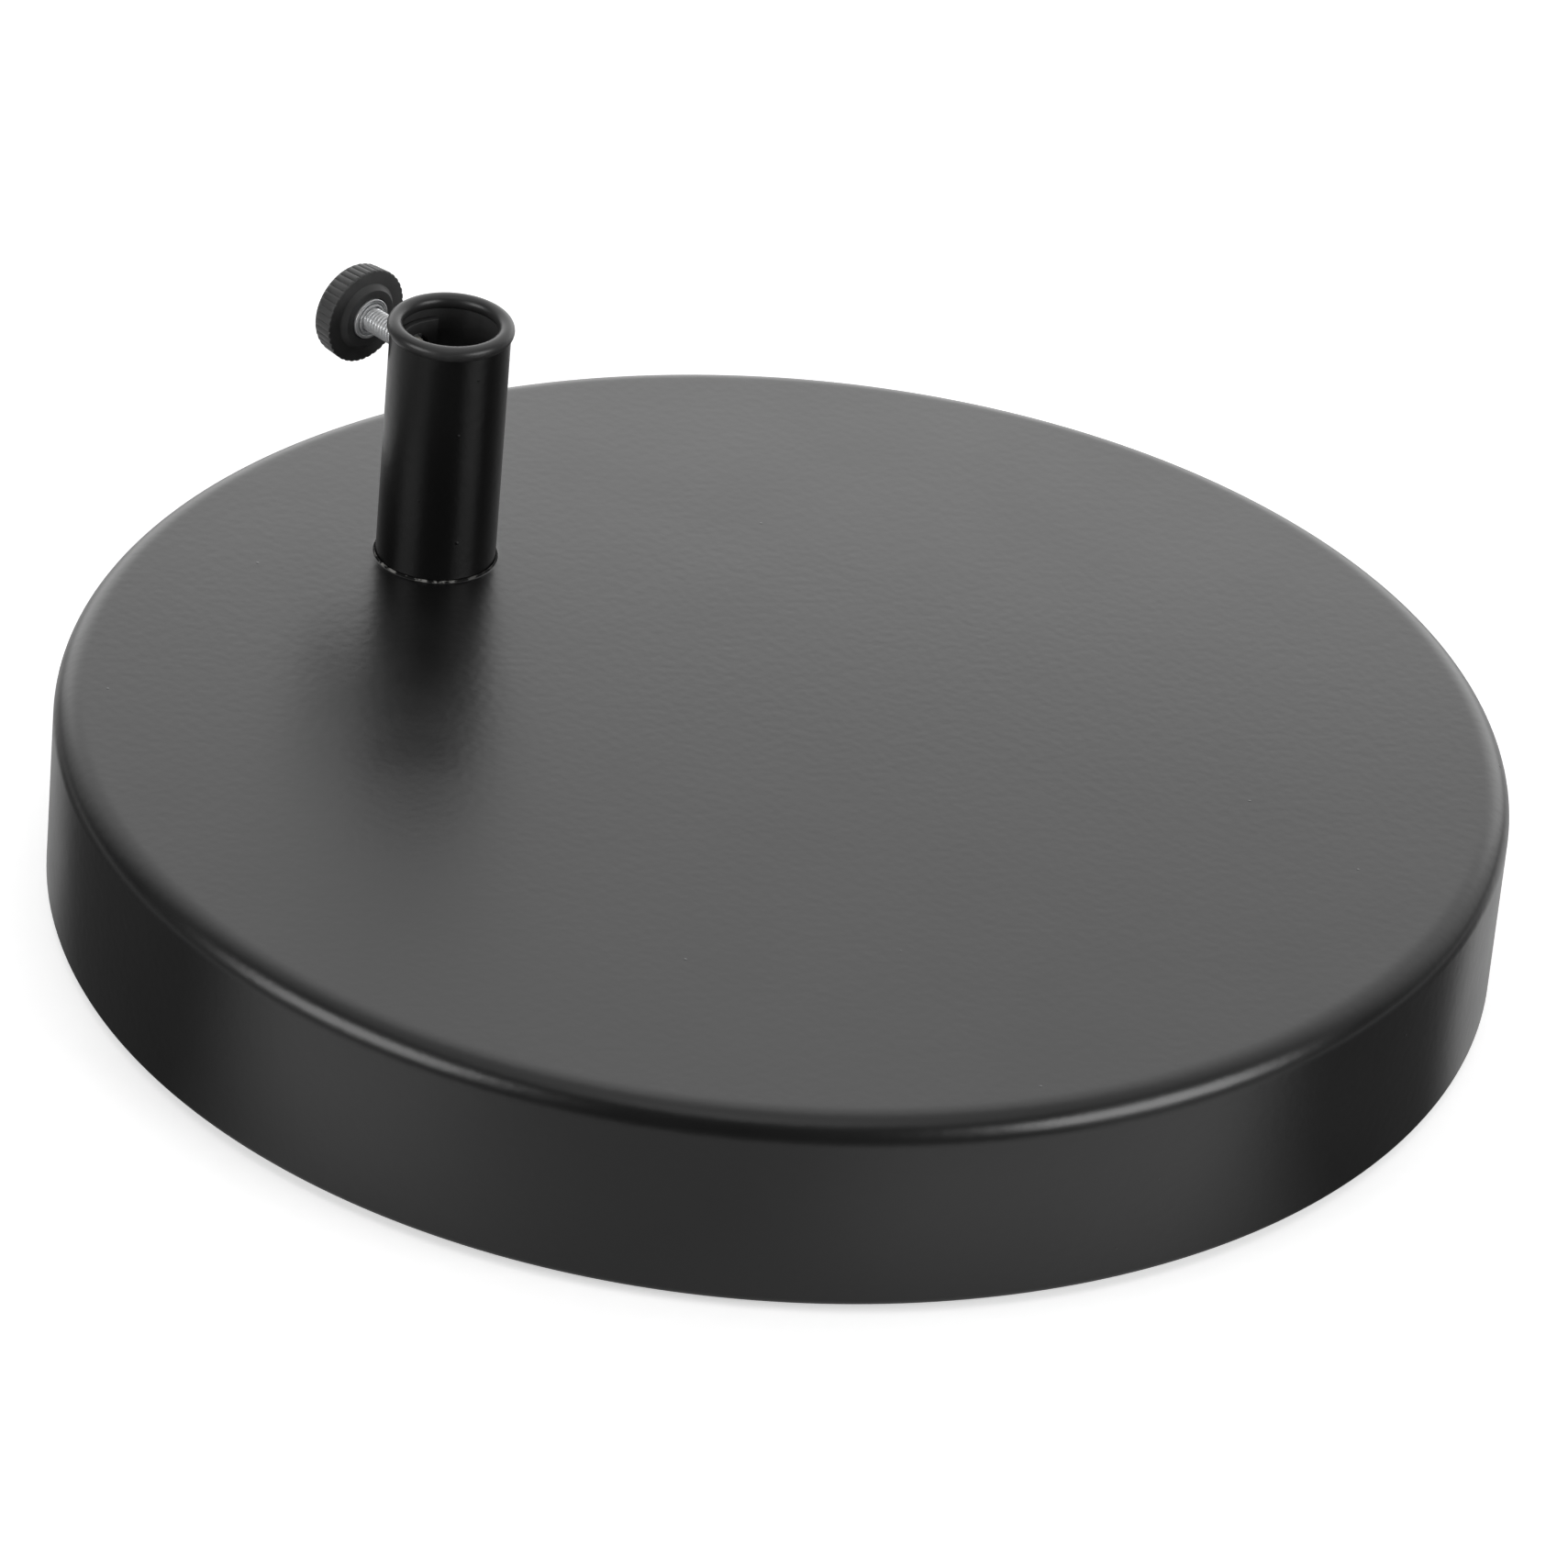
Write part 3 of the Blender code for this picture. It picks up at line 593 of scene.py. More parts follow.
def make_stud(zinc):
    """Right-hand M8 thread screwed up from one pitch of its outline, trimmed to length, bored for the tip."""
    root = STUD_RADIUS - THREAD_DEPTH
    crest = STUD_RADIUS
    low_flank = root + 0.06 * MM
    high_flank = crest - 0.05 * MM
    outline = [(root, 0.0), (root, 0.20), (low_flank, 0.25), (high_flank, 0.54), (crest, 0.58),
               (crest, 0.67), (high_flank, 0.71), (low_flank, 0.95), (root, 1.0)]
    spare_turns = 2
    start = STUD_START - spare_turns * THREAD_PITCH
    draw_outline([(radius, start + share * THREAD_PITCH) for radius, share in outline])
    bpy.ops.object.mode_set(mode="OBJECT")
    stud = bpy.context.object
    seam, steps = 0.002 * MM, 48
    step = stud.modifiers.new("Thread", "SCREW")
    step.axis = "Z"
    step.angle = FULL_TURN
    step.screw_offset = THREAD_PITCH
    step.iterations = math.ceil((STUD_END - STUD_START) / THREAD_PITCH) + 2 * spare_turns
    step.steps = steps
    step.render_steps = steps
    step.use_merge_vertices = True
    step.merge_threshold = seam
    bpy.ops.object.modifier_apply(modifier=step.name)
    bpy.ops.object.mode_set(mode="EDIT")
    bpy.ops.mesh.select_all(action="SELECT")
    bpy.ops.mesh.remove_doubles(threshold=seam)
    cap_ends()
    bpy.ops.object.mode_set(mode="OBJECT")
    outside = STUD_RADIUS + 0.1 * MM
    point = STUD_RADIUS - 0.8 * MM
    point_end = STUD_START + 0.9 * MM
    bore = 1.7 * MM
    bore_end = STUD_START + 2.8 * MM
    trim = [(0.0, STUD_END), (outside, STUD_END), (outside, point_end), (point, STUD_START),
            (bore, STUD_START), (bore, bore_end), (0.0, bore_end)]
    combine(stud, turn_piece(trim, steps=96, closed=False), "INTERSECT")
    lay_along_clamp(stud)
    finish_piece(stud, "threaded_stud", "screw", zinc, ["clamp_stud"])


def make_insert(zinc):
    """Turned bush in the knob: a rim, a groove, and a collar that stands up round the stud."""
    bore = STUD_RADIUS + TUBE_GAP
    collar = bore + 0.75 * MM
    collar_face = INSERT_FACE - 0.3 * MM
    groove = collar + 0.55 * MM
    groove_z = INSERT_FACE + 1.1 * MM
    seat = STUD_END + TUBE_GAP
    rim_edge, groove_edge, fine_edge = 0.35 * MM, 0.25 * MM, 0.15 * MM
    corners = [(0.0, INSERT_BACK, 0.0), (INSERT_RADIUS, INSERT_BACK, 0.0),
               (INSERT_RADIUS, INSERT_FACE, rim_edge), (groove, INSERT_FACE, groove_edge),
               (groove, groove_z, fine_edge), (collar, groove_z, fine_edge), (collar, collar_face, rim_edge),
               (bore, collar_face, fine_edge), (bore, seat, 0.0), (0.0, seat, 0.0)]
    insert = turn_piece(rounded(corners, closed=False), steps=96, closed=False)
    lay_along_clamp(insert)
    finish_piece(insert, "knob_bush", "screw", zinc, ["knob_insert"])


def make_knob(plastic):
    """Moulded knob: turned body whose grip is drawn in between ribs, with a conical hub on its inner face."""
    grip_end = KNOB_RADIUS - 0.6 * MM
    pocket = INSERT_RADIUS + TUBE_GAP
    pocket_end = INSERT_BACK + TUBE_GAP
    hub_foot, hub_rim = 11.0 * MM, 9.5 * MM
    back_edge, grip_edge, hub_edge, pocket_edge = 1.6 * MM, 0.5 * MM, 0.35 * MM, 0.2 * MM
    corners = [(0.0, KNOB_BACK, 0.0), (grip_end, KNOB_BACK, back_edge), (KNOB_RADIUS, KNOB_FACE, grip_edge),
               (hub_foot, KNOB_FACE, hub_edge), (hub_rim, HUB_FACE, hub_edge),
               (pocket, HUB_FACE, pocket_edge), (pocket, pocket_end, 0.0), (0.0, pocket_end, 0.0)]
    knob = turn_piece(rounded(corners, closed=False), KNOB_RIBS * RIB_COLUMNS, closed=False)
    column = FULL_TURN / (KNOB_RIBS * RIB_COLUMNS)
    grip_root = KNOB_RADIUS - 1.1 * MM
    rib_arc, groove_arc = 0.95, 0.05
    bpy.ops.object.mode_set(mode="EDIT")
    for offset in range(1, RIB_COLUMNS // 2 + 1):
        share = offset / (RIB_COLUMNS / 2)
        sink = (1 - math.sqrt(1 - rib_arc * share ** 2)) / (1 - math.sqrt(groove_arc))

        def in_column(point):
            if math.hypot(point.x, point.y) < grip_root:
                return False
            number = round(math.atan2(point.y, point.x) / column) % RIB_COLUMNS
            return number in (offset, RIB_COLUMNS - offset)

        pick("VERT", in_column)
        scale = 1 - RIB_DEPTH * sink / KNOB_RADIUS
        bpy.ops.transform.resize(value=(scale, scale, 1), center_override=(0, 0, 0))
    bpy.ops.object.mode_set(mode="OBJECT")
    lay_along_clamp(knob)
    finish_piece(knob, "ribbed_knob", "screw", plastic, ["clamp_knob"], sharp_degrees=40.0)


def colour(hex_code):
    """Linear colour of an sRGB hex value."""
    channels = []
    for start in (0, 2, 4):
        value = int(hex_code[start:start + 2], 16) / 255
        channels.append(value / 12.92 if value <= 0.04045 else ((value + 0.055) / 1.055) ** 2.4)
    return (*channels, 1.0)


def add_node(tree, kind, settings, inputs):
    """Add a node, give it its settings, and fill its sockets with values or with links from other sockets."""
    node = tree.nodes.new(kind)
    for key, value in settings.items():
        if key == "stops":
            for element, (position, hex_code) in zip(node.color_ramp.elements, value):
                element.position = position
                element.color = colour(hex_code)
        else:
            setattr(node, key, value)
    for key, value in inputs.items():
        if isinstance(value, bpy.types.NodeSocket):
            tree.links.new(value, node.inputs[key])
        else:
            node.inputs[key].default_value = value
    return node


def new_material(name):
    """Bare node material: its tree and the object's own coordinates."""
    material = bpy.data.materials.new(name)
    material.use_nodes = True
    tree = material.node_tree
    tree.nodes.clear()
    place = add_node(tree, "ShaderNodeTexCoord", {}, {}).outputs["Object"]
    return material, tree, place


def dress(tree, sockets):
    """Close a material with its surface shader."""
    shader = add_node(tree, "ShaderNodeBsdfPrincipled", {}, sockets)
    add_node(tree, "ShaderNodeOutputMaterial", {}, {"Surface": shader.outputs["BSDF"]})


def powder_coat(name, nib_mm, lip_highlight_radius=None):
    """Polyester powder, sprayed and baked on steel: satin black, a fine orange peel, a few dust nibs, and a
    lip round the tube that is dull, with a pale broken painted highlight on its crest, strongest on its
    front-left side."""
    material, tree, place = new_material(name)
    peel_mm, grain_mm, cloud_mm, nib_radius_mm, highlight_patch_mm = 3.2, 0.55, 45.0, 0.7, 2.6
    peel = add_node(tree, "ShaderNodeTexNoise", {},
                    {"Vector": place, "Scale": METRE / peel_mm, "Detail": 0.7})
    grain = add_node(tree, "ShaderNodeTexNoise", {},
                     {"Vector": place, "Scale": METRE / grain_mm, "Detail": 2.0})
    cloud = add_node(tree, "ShaderNodeTexNoise", {},
                     {"Vector": place, "Scale": METRE / cloud_mm, "Detail": 2.0})
    nibs = add_node(tree, "ShaderNodeTexVoronoi", {}, {"Vector": place, "Scale": METRE / nib_mm})
    nib = add_node(tree, "ShaderNodeMapRange", {"interpolation_type": "SMOOTHSTEP"},
                   {"Value": nibs.outputs["Distance"], "From Min": 0.0, "From Max": nib_radius_mm / nib_mm,
                    "To Min": 1.0, "To Max": 0.0})
    grain_bump = add_node(tree, "ShaderNodeBump", {}, {"Strength": 0.35, "Distance": 0.02 * MM,
                                                     "Height": grain.outputs["Fac"]})
    peel_bump = add_node(tree, "ShaderNodeBump", {}, {"Strength": 0.5, "Distance": 0.11 * MM,
                                                    "Height": peel.outputs["Fac"],
                                                    "Normal": grain_bump.outputs["Normal"]})
    nib_bump = add_node(tree, "ShaderNodeBump", {}, {"Strength": 1.0, "Distance": 0.12 * MM,
                                                   "Height": nib.outputs["Result"],
                                                   "Normal": peel_bump.outputs["Normal"]})
    tint = add_node(tree, "ShaderNodeValToRGB", {"stops": [(0.35, "0c0c0c"), (0.65, "101010")]},
                    {"Fac": cloud.outputs["Fac"]})
    rough = add_node(tree, "ShaderNodeMapRange", {}, {"Value": cloud.outputs["Fac"], "From Min": 0.3,
                                                      "From Max": 0.7, "To Min": 0.28, "To Max": 0.33})
    face = tint.outputs["Color"]
    roughness = rough.outputs["Result"]
    sheen = full_sheen = 0.5
    if lip_highlight_radius:
        # Pale patches on the lip's crest, strongest on its front-left side: painted highlight; the crest is
        # also dulled
        half_lip, highlight_reach, dull_sheen, extra_roughness = 0.3 * MM, 14.0 * MM, 0.12, 0.35
        level = (1.0, 1.0, 0.0)
        flat = add_node(tree, "ShaderNodeVectorMath", {"operation": "MULTIPLY"}, {0: place, 1: level})
        reach = add_node(tree, "ShaderNodeVectorMath", {"operation": "DISTANCE"},
                         {0: flat.outputs["Vector"], 1: TUBE_CENTRE})
        lip = add_node(tree, "ShaderNodeMath", {"operation": "COMPARE"},
                       {0: reach.outputs["Value"], 1: lip_highlight_radius, 2: half_lip})
        highlight_noise = add_node(tree, "ShaderNodeTexNoise", {},
                       {"Vector": place, "Scale": METRE / highlight_patch_mm, "Detail": 4.0})
        patchy = add_node(tree, "ShaderNodeMapRange", {}, {"Value": highlight_noise.outputs["Fac"], "From Min": 0.48,
                                                           "From Max": 0.60, "To Min": 0.0, "To Max": 0.75})
        highlight_side = from_camera(-0.6, -0.8, 0.0)
        across = add_node(tree, "ShaderNodeVectorMath", {"operation": "DOT_PRODUCT"},
                          {0: place, 1: highlight_side})
        middle = highlight_side.dot(TUBE_CENTRE)
        sided = add_node(tree, "ShaderNodeMapRange", {},
                         {"Value": across.outputs["Value"], "From Min": middle,
                          "From Max": middle + highlight_reach, "To Min": 0.15, "To Max": 1.0})
        patches = add_node(tree, "ShaderNodeMath", {"operation": "MULTIPLY"},
                           {0: patchy.outputs["Result"], 1: sided.outputs["Result"]})
        painted_highlight = add_node(tree, "ShaderNodeMath", {"operation": "MULTIPLY"},
                          {0: lip.outputs[0], 1: patches.outputs[0]})
        # Pale grey painted highlight mixed into the coat on the lip
        face = add_node(tree, "ShaderNodeMix", {"data_type": "RGBA"},
                        {0: painted_highlight.outputs[0], 6: face, 7: colour("9a9996")}).outputs[2]
        roughness = add_node(tree, "ShaderNodeMath", {"operation": "MULTIPLY_ADD"},
                             {0: lip.outputs[0], 1: extra_roughness, 2: roughness}).outputs[0]
        sheen = add_node(tree, "ShaderNodeMapRange", {}, {"Value": lip.outputs[0], "To Min": full_sheen,
                                                          "To Max": dull_sheen}).outputs["Result"]
    dress(tree, {"Base Color": face, "Roughness": roughness, "Specular IOR Level": sheen, "IOR": 1.55,
                 "Normal": nib_bump.outputs["Normal"]})
    return material


def bore_overspray_and_painted_light():
    """Inside of the tube, which powder reaches only as dry overspray: matt dark grey, mottled and gritty, its
    grey raised above the coat's black as painted light that lifts the shaded bore.
    """
    material, tree, place = new_material("dry_overspray_and_painted_light")
    mottle_mm, grit_mm = 7.0, 0.8
    mottle = add_node(tree, "ShaderNodeTexNoise", {},
                      {"Vector": place, "Scale": METRE / mottle_mm, "Detail": 4.0})
    grit = add_node(tree, "ShaderNodeTexNoise", {},
                    {"Vector": place, "Scale": METRE / grit_mm, "Detail": 3.0})
    bump = add_node(tree, "ShaderNodeBump", {}, {"Strength": 0.7, "Distance": 0.08 * MM,
                                                 "Height": grit.outputs["Fac"]})
    # Grey raised well above the coat's black: partly the overspray's finish, partly painted light in the
    # shaded bore
    tint = add_node(tree, "ShaderNodeValToRGB", {"stops": [(0.3, "3a3a3a"), (0.7, "4a4a4a")]},
                    {"Fac": mottle.outputs["Fac"]})
    dress(tree, {"Base Color": tint.outputs["Color"], "Roughness": 0.62, "Normal": bump.outputs["Normal"]})
    return material


def moulded_plastic(name, dark, light, roughness, spark_mm):
    """Black thermoplastic from an eroded mould: a fine even grain that softens the shine."""
    material, tree, place = new_material(name)
    flow_mm, spread = 12.0, 0.03
    grain = add_node(tree, "ShaderNodeTexNoise", {},
                     {"Vector": place, "Scale": METRE / spark_mm, "Detail": 3.0})
    flow = add_node(tree, "ShaderNodeTexNoise", {},
                    {"Vector": place, "Scale": METRE / flow_mm, "Detail": 2.0})
    bump = add_node(tree, "ShaderNodeBump", {}, {"Strength": 0.5, "Distance": 0.02 * MM,
                                                 "Height": grain.outputs["Fac"]})
    tint = add_node(tree, "ShaderNodeValToRGB", {"stops": [(0.35, dark), (0.65, light)]},
                    {"Fac": flow.outputs["Fac"]})
    rough = add_node(tree, "ShaderNodeMapRange", {},
                     {"Value": flow.outputs["Fac"], "From Min": 0.3, "From Max": 0.7,
                      "To Min": roughness - spread, "To Max": roughness + spread})
    dress(tree, {"Base Color": tint.outputs["Color"], "Roughness": rough.outputs["Result"], "IOR": 1.5,
                 "Normal": bump.outputs["Normal"]})
    return material


def zinc_plate(name, dark, light, roughness, bare):
    """Electroplated zinc on turned steel: bright metal under a faint milky bloom of passivation."""
    material, tree, place = new_material(name)
    cloud_mm, grain_mm, spread = 3.0, 0.3, 0.05
    cloud = add_node(tree, "ShaderNodeTexNoise", {},
                     {"Vector": place, "Scale": METRE / cloud_mm, "Detail": 4.0})
    grain = add_node(tree, "ShaderNodeTexNoise", {},
                     {"Vector": place, "Scale": METRE / grain_mm, "Detail": 2.0})
    bump = add_node(tree, "ShaderNodeBump", {}, {"Strength": 0.3, "Distance": 0.01 * MM,
                                                 "Height": grain.outputs["Fac"]})
    tint = add_node(tree, "ShaderNodeValToRGB", {"stops": [(0.3, dark), (0.7, light)]},
                    {"Fac": cloud.outputs["Fac"]})
    rough = add_node(tree, "ShaderNodeMapRange", {},
                     {"Value": cloud.outputs["Fac"], "From Min": 0.3, "From Max": 0.7,
                      "To Min": roughness - spread, "To Max": roughness + spread})
    dress(tree, {"Base Color": tint.outputs["Color"], "Metallic": bare, "Roughness": rough.outputs["Result"],
                 "Normal": bump.outputs["Normal"]})
    return material


def galvanised_sheet():
    """Hot-dip galvanised sheet: crystals of zinc about 9 mm across, each with its own grey and gloss."""
    material, tree, place = new_material("galvanised_sheet_steel")
    spangle_mm = 9.0
    spangle = add_node(tree, "ShaderNodeTexVoronoi", {"distance": "MANHATTAN"},
                       {"Vector": place, "Scale": METRE / spangle_mm, "Randomness": 1.0})
    tint = add_node(tree, "ShaderNodeValToRGB", {"stops": [(0.1, "9ea2a5"), (0.9, "c4c7c9")]},
                    {"Fac": spangle.outputs["Color"]})
    rough = add_node(tree, "ShaderNodeMapRange", {}, {"Value": spangle.outputs["Color"],
                                                      "To Min": 0.32, "To Max": 0.5})
    dress(tree, {"Base Color": tint.outputs["Color"], "Metallic": 1.0, "Roughness": rough.outputs["Result"]})
    return material


def moulded_rubber():
    """Black rubber buttons, pressed in a mould: matt, with a dusty bloom."""
    material, tree, place = new_material("black_moulded_rubber")
    bloom_mm, grain_mm = 4.0, 0.4
    bloom = add_node(tree, "ShaderNodeTexNoise", {},
                     {"Vector": place, "Scale": METRE / bloom_mm, "Detail": 3.0})
    grain = add_node(tree, "ShaderNodeTexNoise", {},
                     {"Vector": place, "Scale": METRE / grain_mm, "Detail": 2.0})
    bump = add_node(tree, "ShaderNodeBump", {}, {"Strength": 0.4, "Distance": 0.03 * MM,
                                                 "Height": grain.outputs["Fac"]})
    tint = add_node(tree, "ShaderNodeValToRGB", {"stops": [(0.35, "1d1d1d"), (0.7, "2b2b2a")]},
                    {"Fac": bloom.outputs["Fac"]})
    dress(tree, {"Base Color": tint.outputs["Color"], "Roughness": 0.8, "IOR": 1.52,
                 "Normal": bump.outputs["Normal"]})
    return material


def natural_nylon():
    """Undyed nylon, turned: milky and faintly uneven."""
    material, tree, place = new_material("natural_nylon")
    milk_mm = 2.0
    milk = add_node(tree, "ShaderNodeTexNoise", {},
                    {"Vector": place, "Scale": METRE / milk_mm, "Detail": 2.0})
    tint = add_node(tree, "ShaderNodeValToRGB", {"stops": [(0.3, "d9d5c8"), (0.7, "e6e3d9")]},
                    {"Fac": milk.outputs["Fac"]})
    bump = add_node(tree, "ShaderNodeBump", {}, {"Strength": 0.3, "Distance": 0.01 * MM,
                                                 "Height": milk.outputs["Fac"]})
    dress(tree, {"Base Color": tint.outputs["Color"], "Roughness": 0.42, "IOR": 1.53,
                 "Normal": bump.outputs["Normal"]})
    return material


def cast_concrete():
    """Cement and sand cast in the cover: grey, mottled, with fine pores."""
    material, tree, place = new_material("cast_concrete")
    mottle_mm, sand_mm = 25.0, 2.0
    mottle = add_node(tree, "ShaderNodeTexNoise", {},
                      {"Vector": place, "Scale": METRE / mottle_mm, "Detail": 6.0})
    sand = add_node(tree, "ShaderNodeTexVoronoi", {}, {"Vector": place, "Scale": METRE / sand_mm})
    tint = add_node(tree, "ShaderNodeValToRGB", {"stops": [(0.3, "8b8882"), (0.7, "a5a29b")]},
                    {"Fac": mottle.outputs["Fac"]})
    bump = add_node(tree, "ShaderNodeBump", {}, {"Strength": 0.6, "Distance": 0.3 * MM,
                                               "Height": sand.outputs["Distance"]})
    dress(tree, {"Base Color": tint.outputs["Color"], "Roughness": 0.9, "Normal": bump.outputs["Normal"]})
    return material


def from_camera(right, away, up):
    """A place given to the right of the object, away from the camera and up."""
    return Matrix.Rotation(CAMERA_AZIMUTH, 3, "Z") @ Vector((right, away, up))


def make_world():
    """White to the eye, and to other rays a bright backdrop behind the object and banks of light overhead."""
    world = bpy.data.worlds.new("white_studio")
    bpy.context.scene.world = world
    world.use_nodes = True
    tree = world.node_tree
    tree.nodes.clear()
    coordinates = add_node(tree, "ShaderNodeTexCoord", {}, {})
    turned = add_node(tree, "ShaderNodeMapping", {"vector_type": "VECTOR"},
                      {"Vector": coordinates.outputs["Generated"], "Rotation": (0, 0, -CAMERA_AZIMUTH)})
    glow = {}
    for name, (way, ramp, first, last, dim, bright) in STUDIO_LIGHTS.items():
        along = add_node(tree, "ShaderNodeVectorMath", {"operation": "DOT_PRODUCT"},
                         {0: turned.outputs["Vector"], 1: way})
        glow[name] = add_node(tree, "ShaderNodeMapRange", {"interpolation_type": ramp},
                              {"Value": along.outputs["Value"], "From Min": first, "From Max": last,
                               "To Min": dim, "To Max": bright}).outputs[0]
    behind = add_node(tree, "ShaderNodeMath", {"operation": "ADD"},
                      {0: glow["backdrop"], 1: glow["back bank"]})
    above = add_node(tree, "ShaderNodeMath", {"operation": "ADD"}, {0: glow["bank"], 1: glow["front bank"]})
    studio = add_node(tree, "ShaderNodeMath", {"operation": "MAXIMUM"},
                      {0: behind.outputs[0], 1: above.outputs[0]})
    path = add_node(tree, "ShaderNodeLightPath", {}, {})
    seen = add_node(tree, "ShaderNodeMath", {"operation": "MAXIMUM"},
                    {0: path.outputs["Is Camera Ray"], 1: path.outputs["Is Transmission Ray"]})
    strength = add_node(tree, "ShaderNodeMath", {"operation": "MAXIMUM"},
                        {0: studio.outputs[0], 1: seen.outputs[0]})
    light = add_node(tree, "ShaderNodeBackground", {},
                     {"Color": colour("ffffff"), "Strength": strength.outputs[0]})
    add_node(tree, "ShaderNodeOutputWorld", {}, {"Surface": light.outputs[0]})


def make_floor():
    """Pale paper floor, lifted to white for the eye, and in reflections darkened by painted shade in front
    and far off, and by painted shadows beside the object.
    """
    deselect_all()
    bpy.ops.mesh.primitive_circle_add(vertices=96, radius=FLOOR_RADIUS, fill_type="NGON")
    floor = bpy.context.object
    floor.name = "studio_floor"
    material, tree, place = new_material("white_paper_floor")
    paper_mm = 6.0
    paper = add_node(tree, "ShaderNodeTexNoise", {},
                     {"Vector": place, "Scale": METRE / paper_mm, "Detail": 3.0})
    tint = add_node(tree, "ShaderNodeValToRGB", {"stops": [(0.3, "f0f0f0"), (0.7, "f3f3f3")]},
                    {"Fac": paper.outputs["Fac"]})
    path = add_node(tree, "ShaderNodeLightPath", {}, {})
    # Painted shade, seen only by glossy rays: wedges beside the object stand for its shadows from the
    # softboxes
    shade = 0.0
    reach = add_node(tree, "ShaderNodeVectorMath", {"operation": "LENGTH"}, {0: place})
    depth_there = add_node(tree, "ShaderNodeMapRange", {"interpolation_type": "SMOOTHSTEP"},
                           {"Value": reach.outputs["Value"], "From Min": WEDGE_NEAR, "From Max": WEDGE_FAR,
                            "To Min": WEDGE_NEAR_DEPTH, "To Max": WEDGE_FAR_DEPTH})
    for edges in PAINTED_SHADOW_WEDGES:
        wedge = depth_there.outputs[0]
        for right, away, facing, softness in edges:
            inward = from_camera(math.cos(math.radians(facing)), math.sin(math.radians(facing)), 0.0)
            edge = inward.dot(from_camera(right, away, 0.0))
            inside = add_node(tree, "ShaderNodeVectorMath", {"operation": "DOT_PRODUCT"},
                              {0: place, 1: inward})
            side = add_node(tree, "ShaderNodeMapRange", {"interpolation_type": "SMOOTHSTEP"},
                            {"Value": inside.outputs["Value"], "From Min": edge - softness,
                             "From Max": edge + softness, "To Min": 0.0, "To Max": 1.0})
            wedge = add_node(tree, "ShaderNodeMath", {"operation": "MULTIPLY"},
                             {0: wedge, 1: side.outputs[0]}).outputs[0]
        shade = add_node(tree, "ShaderNodeMath", {"operation": "MAXIMUM"}, {0: shade, 1: wedge}).outputs[0]
    # Painted shade, seen only by glossy rays: a dim disc in front of the object and dimming far off
    for right, away, radius, start, end, depth in PAINTED_SHADE_DISCS:
        patch_place = add_node(tree, "ShaderNodeMapping", {"vector_type": "TEXTURE"},
                               {"Vector": place, "Location": from_camera(right, away, 0.0),
                                "Scale": (radius, radius, radius)})
        patch = add_node(tree, "ShaderNodeTexGradient", {"gradient_type": "SPHERICAL"},
                         {"Vector": patch_place.outputs["Vector"]})
        dim = add_node(tree, "ShaderNodeMapRange", {"interpolation_type": "SMOOTHSTEP"},
                       {"Value": patch.outputs["Fac"], "From Min": start, "From Max": end,
                        "To Min": 0.0, "To Max": depth})
        shade = add_node(tree, "ShaderNodeMath", {"operation": "MAXIMUM"},
                         {0: shade, 1: dim.outputs[0]}).outputs[0]
    mirrored = add_node(tree, "ShaderNodeMath", {"operation": "MULTIPLY"},
                        {0: shade, 1: path.outputs["Is Glossy Ray"]})
    seen = add_node(tree, "ShaderNodeMix", {"data_type": "RGBA"},
                    {0: mirrored.outputs[0], 6: tint.outputs["Color"], 7: colour("000000")})
    sheet = add_node(tree, "ShaderNodeBsdfDiffuse", {}, {"Color": seen.outputs[2]})
    lift = add_node(tree, "ShaderNodeMath", {"operation": "MULTIPLY"},
                    {0: path.outputs["Is Camera Ray"], 1: EYE_LIFT})
    fill = add_node(tree, "ShaderNodeMath", {"operation": "MULTIPLY_ADD"},
                    {0: path.outputs["Is Glossy Ray"], 1: REFLECTED_LIFT, 2: lift.outputs[0]})
    glow = add_node(tree, "ShaderNodeEmission", {}, {"Color": colour("ffffff"), "Strength": fill.outputs[0]})
    lifted = add_node(tree, "ShaderNodeAddShader", {}, {0: sheet.outputs[0], 1: glow.outputs[0]})
    add_node(tree, "ShaderNodeOutputMaterial", {}, {"Surface": lifted.outputs[0]})
    floor.data.materials.append(material)


def add_softbox(name, place, aim, width, height, radiance, lights_floor=True):
    """Soft panel of light, given by how bright its face is (1 is white)."""
    light = bpy.data.lights.new(name, "AREA")
    light.shape = "RECTANGLE"
    light.size = width
    light.size_y = height
    light.energy = radiance * math.pi * width * height
    lamp = bpy.data.objects.new(name, light)
    lamp.location = place
    lamp.rotation_euler = (aim - place).to_track_quat("-Z", "Y").to_euler()
    lamp.visible_camera = False
    lamp.visible_diffuse = lights_floor
    bpy.context.scene.collection.objects.link(lamp)


def make_camera():
    data = bpy.data.cameras.new("photo_camera")
    data.lens = CAMERA_LENS_MM
    data.sensor_width = CAMERA_SENSOR_MM
    data.clip_end = 20.0
    camera = bpy.data.objects.new("photo_camera", data)
    turn = (Matrix.Rotation(CAMERA_AZIMUTH, 4, "Z") @ Matrix.Rotation(math.pi / 2 - CAMERA_ELEVATION, 4, "X")
            @ Matrix.Rotation(CAMERA_ROLL, 4, "Z"))
    back = turn.to_3x3() @ Vector((0, 0, 1))
    camera.matrix_world = Matrix.Translation(CAMERA_AIM + back * CAMERA_DISTANCE) @ turn
    bpy.context.scene.collection.objects.link(camera)
    bpy.context.scene.camera = camera


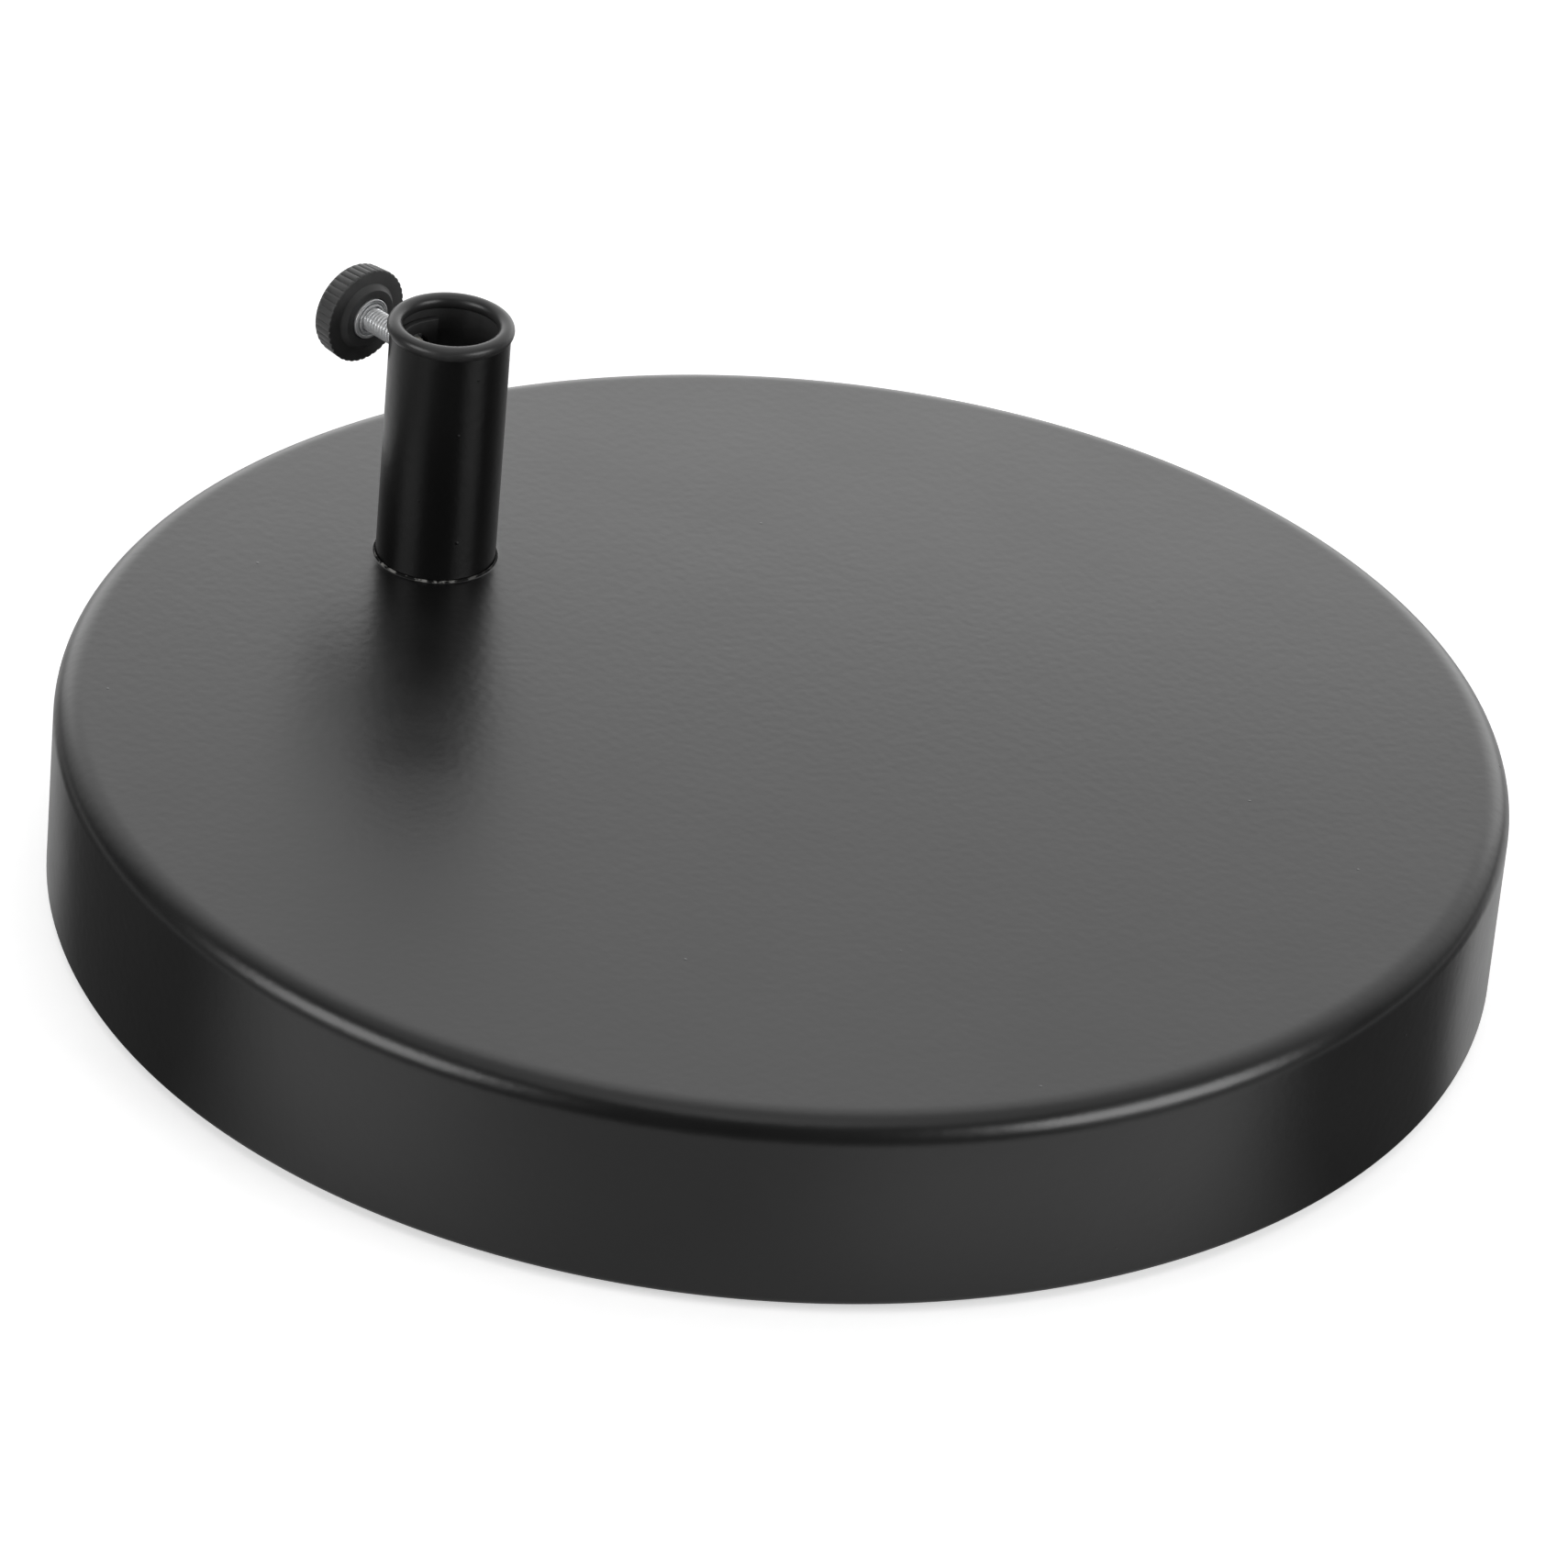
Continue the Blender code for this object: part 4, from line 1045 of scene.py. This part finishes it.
def main():
    lip_crest = TUBE_RADIUS + TUBE_GAP + 0.2 * MM
    coat = powder_coat("satin_black_powder_coat", nib_mm=28.0, lip_highlight_radius=lip_crest)
    tube_coat = powder_coat("tube_powder_coat", nib_mm=11.0)
    ring_plastic = moulded_plastic("satin_black_moulded_ring", "292929", "313131",
                                   roughness=0.36, spark_mm=0.5)
    stop_plastic = moulded_plastic("matt_black_moulded_stop", "171717", "1e1e1e",
                                   roughness=0.55, spark_mm=0.5)
    knob_plastic = moulded_plastic("black_moulded_knob", "3e3e3e", "4a4a4a", roughness=0.48, spark_mm=0.35)
    bright_zinc = zinc_plate("bright_zinc_plate", "eaecee", "fafafa", roughness=0.22, bare=0.5)
    bolt_zinc = zinc_plate("zinc_plated_fasteners", "b0b2b4", "cacbcd", roughness=0.42, bare=0.7)
    sheet_zinc = galvanised_sheet()
    rubber = moulded_rubber()
    nylon = natural_nylon()
    concrete = cast_concrete()

    make_cover(coat)
    overspray_and_painted_light = bore_overspray_and_painted_light()
    make_tube(tube_coat, overspray_and_painted_light)
    make_mouth_ring(ring_plastic)
    make_pole_stop(stop_plastic)
    make_nut(overspray_and_painted_light)
    make_bottom_plate(sheet_zinc)
    make_flange(tube_coat)
    make_bolts(bolt_zinc)
    make_feet(rubber)
    make_tip(nylon)
    make_stud(bright_zinc)
    make_insert(bright_zinc)
    make_knob(knob_plastic)

    kept_nodes = {"concrete_core": concrete}
    for number in range(1, BOLT_COUNT + 1):
        kept_nodes[f"flange_anchor_{number}"] = bolt_zinc
    for name, material in kept_nodes.items():
        node = frame["nodes"][name]
        node.data.materials.clear()
        node.data.materials.append(material)

    make_world()
    make_floor()
    middle = Vector((0, 0, 0.05))
    add_softbox("softbox_left", from_camera(-1.18, -0.76, 0.55), middle,
                width=0.95, height=0.62, radiance=4.4)
    add_softbox("softbox_right", from_camera(1.18, -0.76, 0.55), middle,
                width=0.95, height=0.62, radiance=5.6)
    add_softbox("backdrop_panel", from_camera(0, 0.50, 0.165), from_camera(0, 0, 0.165),
                width=1.20, height=0.33, radiance=0.95, lights_floor=False)
    make_camera()
    bpy.context.scene.view_settings.view_transform = "Standard"


main()
